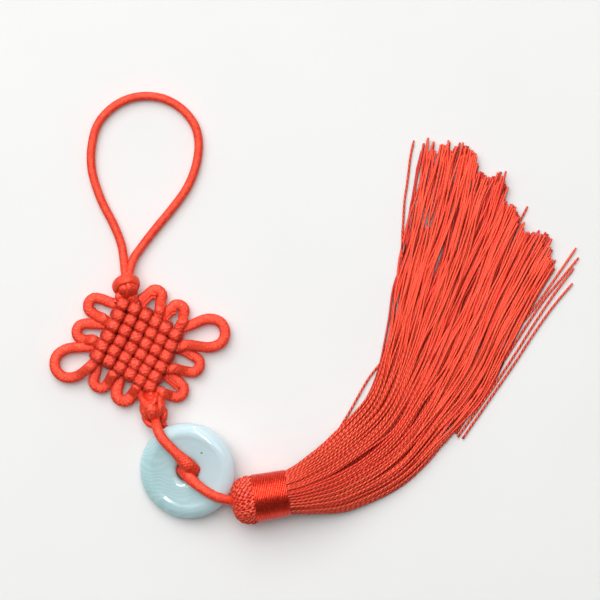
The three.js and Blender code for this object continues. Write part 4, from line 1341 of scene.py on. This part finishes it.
def stray_strands():
    tubes = []
    for stray in STRAYS:
        path, _ = spline([(x, y, FLOOR_LINE) for x, y in stray.points], STRAY_STEP)
        tubes.append(strand_tube(path))
    mesh = tube_mesh("stray_strands", tubes, [stray.tone for stray in STRAYS])
    piece(mesh, STRAND, "tassel")


stray_strands()


# Floor and light.

FLOOR_REACH, FLOOR_DROP = 1.5, 0.0002


def floor():
    mesh = bpy.data.meshes.new("floor")
    corners = [(x * FLOOR_REACH, y * FLOOR_REACH, -FLOOR_DROP)
               for x, y in ((-1, -1), (1, -1), (1, 1), (-1, 1))]
    mesh.from_pydata(corners, [], [(0, 1, 2, 3)])
    mesh.materials.append(pale_floor())
    in_scene("floor", mesh)


floor()

# Soft boxes: place, aim and size in metres, and power in watts. The long strip runs from above
# the ornament toward the window's side, and makes only the gloss.
LIGHTS = table(
    "name place aim width height power only_shine",
    ("window", (-0.42, 0.75, 1.15), (0.0, 0.0, 0.0), 1.5, 1.3, 16.8, False),
    ("ceiling_panel", (0.0, 0.15, 1.6), (0.0, 0.0, 0.0), 0.9, 0.6, 5.3, False),
    ("ceiling_strip", (-0.2, 1.85, 1.1), (-0.2, 1.85, 0.0), 4.0, 0.05, 30.0, True),
)


def soft_box(row):
    lamp = bpy.data.lights.new(row.name, "AREA")
    lamp.shape, lamp.energy = "RECTANGLE", row.power
    lamp.size, lamp.size_y = row.width, row.height
    obj = in_scene(row.name, lamp)
    obj.location = row.place
    way = np.array(row.aim) - np.array(row.place)
    yaw, flat_run = math.atan2(way[1], way[0]), math.hypot(way[0], way[1])
    obj.rotation_euler = (math.atan2(flat_run, -way[2]), 0.0, yaw - math.pi / 2)
    obj.visible_diffuse = not row.only_shine


for row in LIGHTS:
    soft_box(row)


def pale_room():
    """Even room light, brighter toward the window side."""
    world = bpy.data.worlds.new("pale room")
    bpy.context.scene.world = world
    world.use_nodes = True
    nodes, links = world.node_tree.nodes, world.node_tree.links
    way = nodes.new("ShaderNodeSeparateXYZ")
    links.new(nodes.new("ShaderNodeTexCoord").outputs["Generated"], way.inputs["Vector"])
    rise = nodes.new("ShaderNodeMapRange")
    rise.interpolation_type = "SMOOTHSTEP"
    for name, value in {"From Min": -0.55, "From Max": 0.45, "To Min": 0.08,
                        "To Max": 0.54}.items():
        rise.inputs[name].default_value = value
    links.new(way.outputs["Y"], rise.inputs["Value"])
    links.new(rise.outputs["Result"], nodes["Background"].inputs["Strength"])
    nodes["Background"].inputs["Color"].default_value = (1.0, 1.0, 1.0, 1.0)


pale_room()
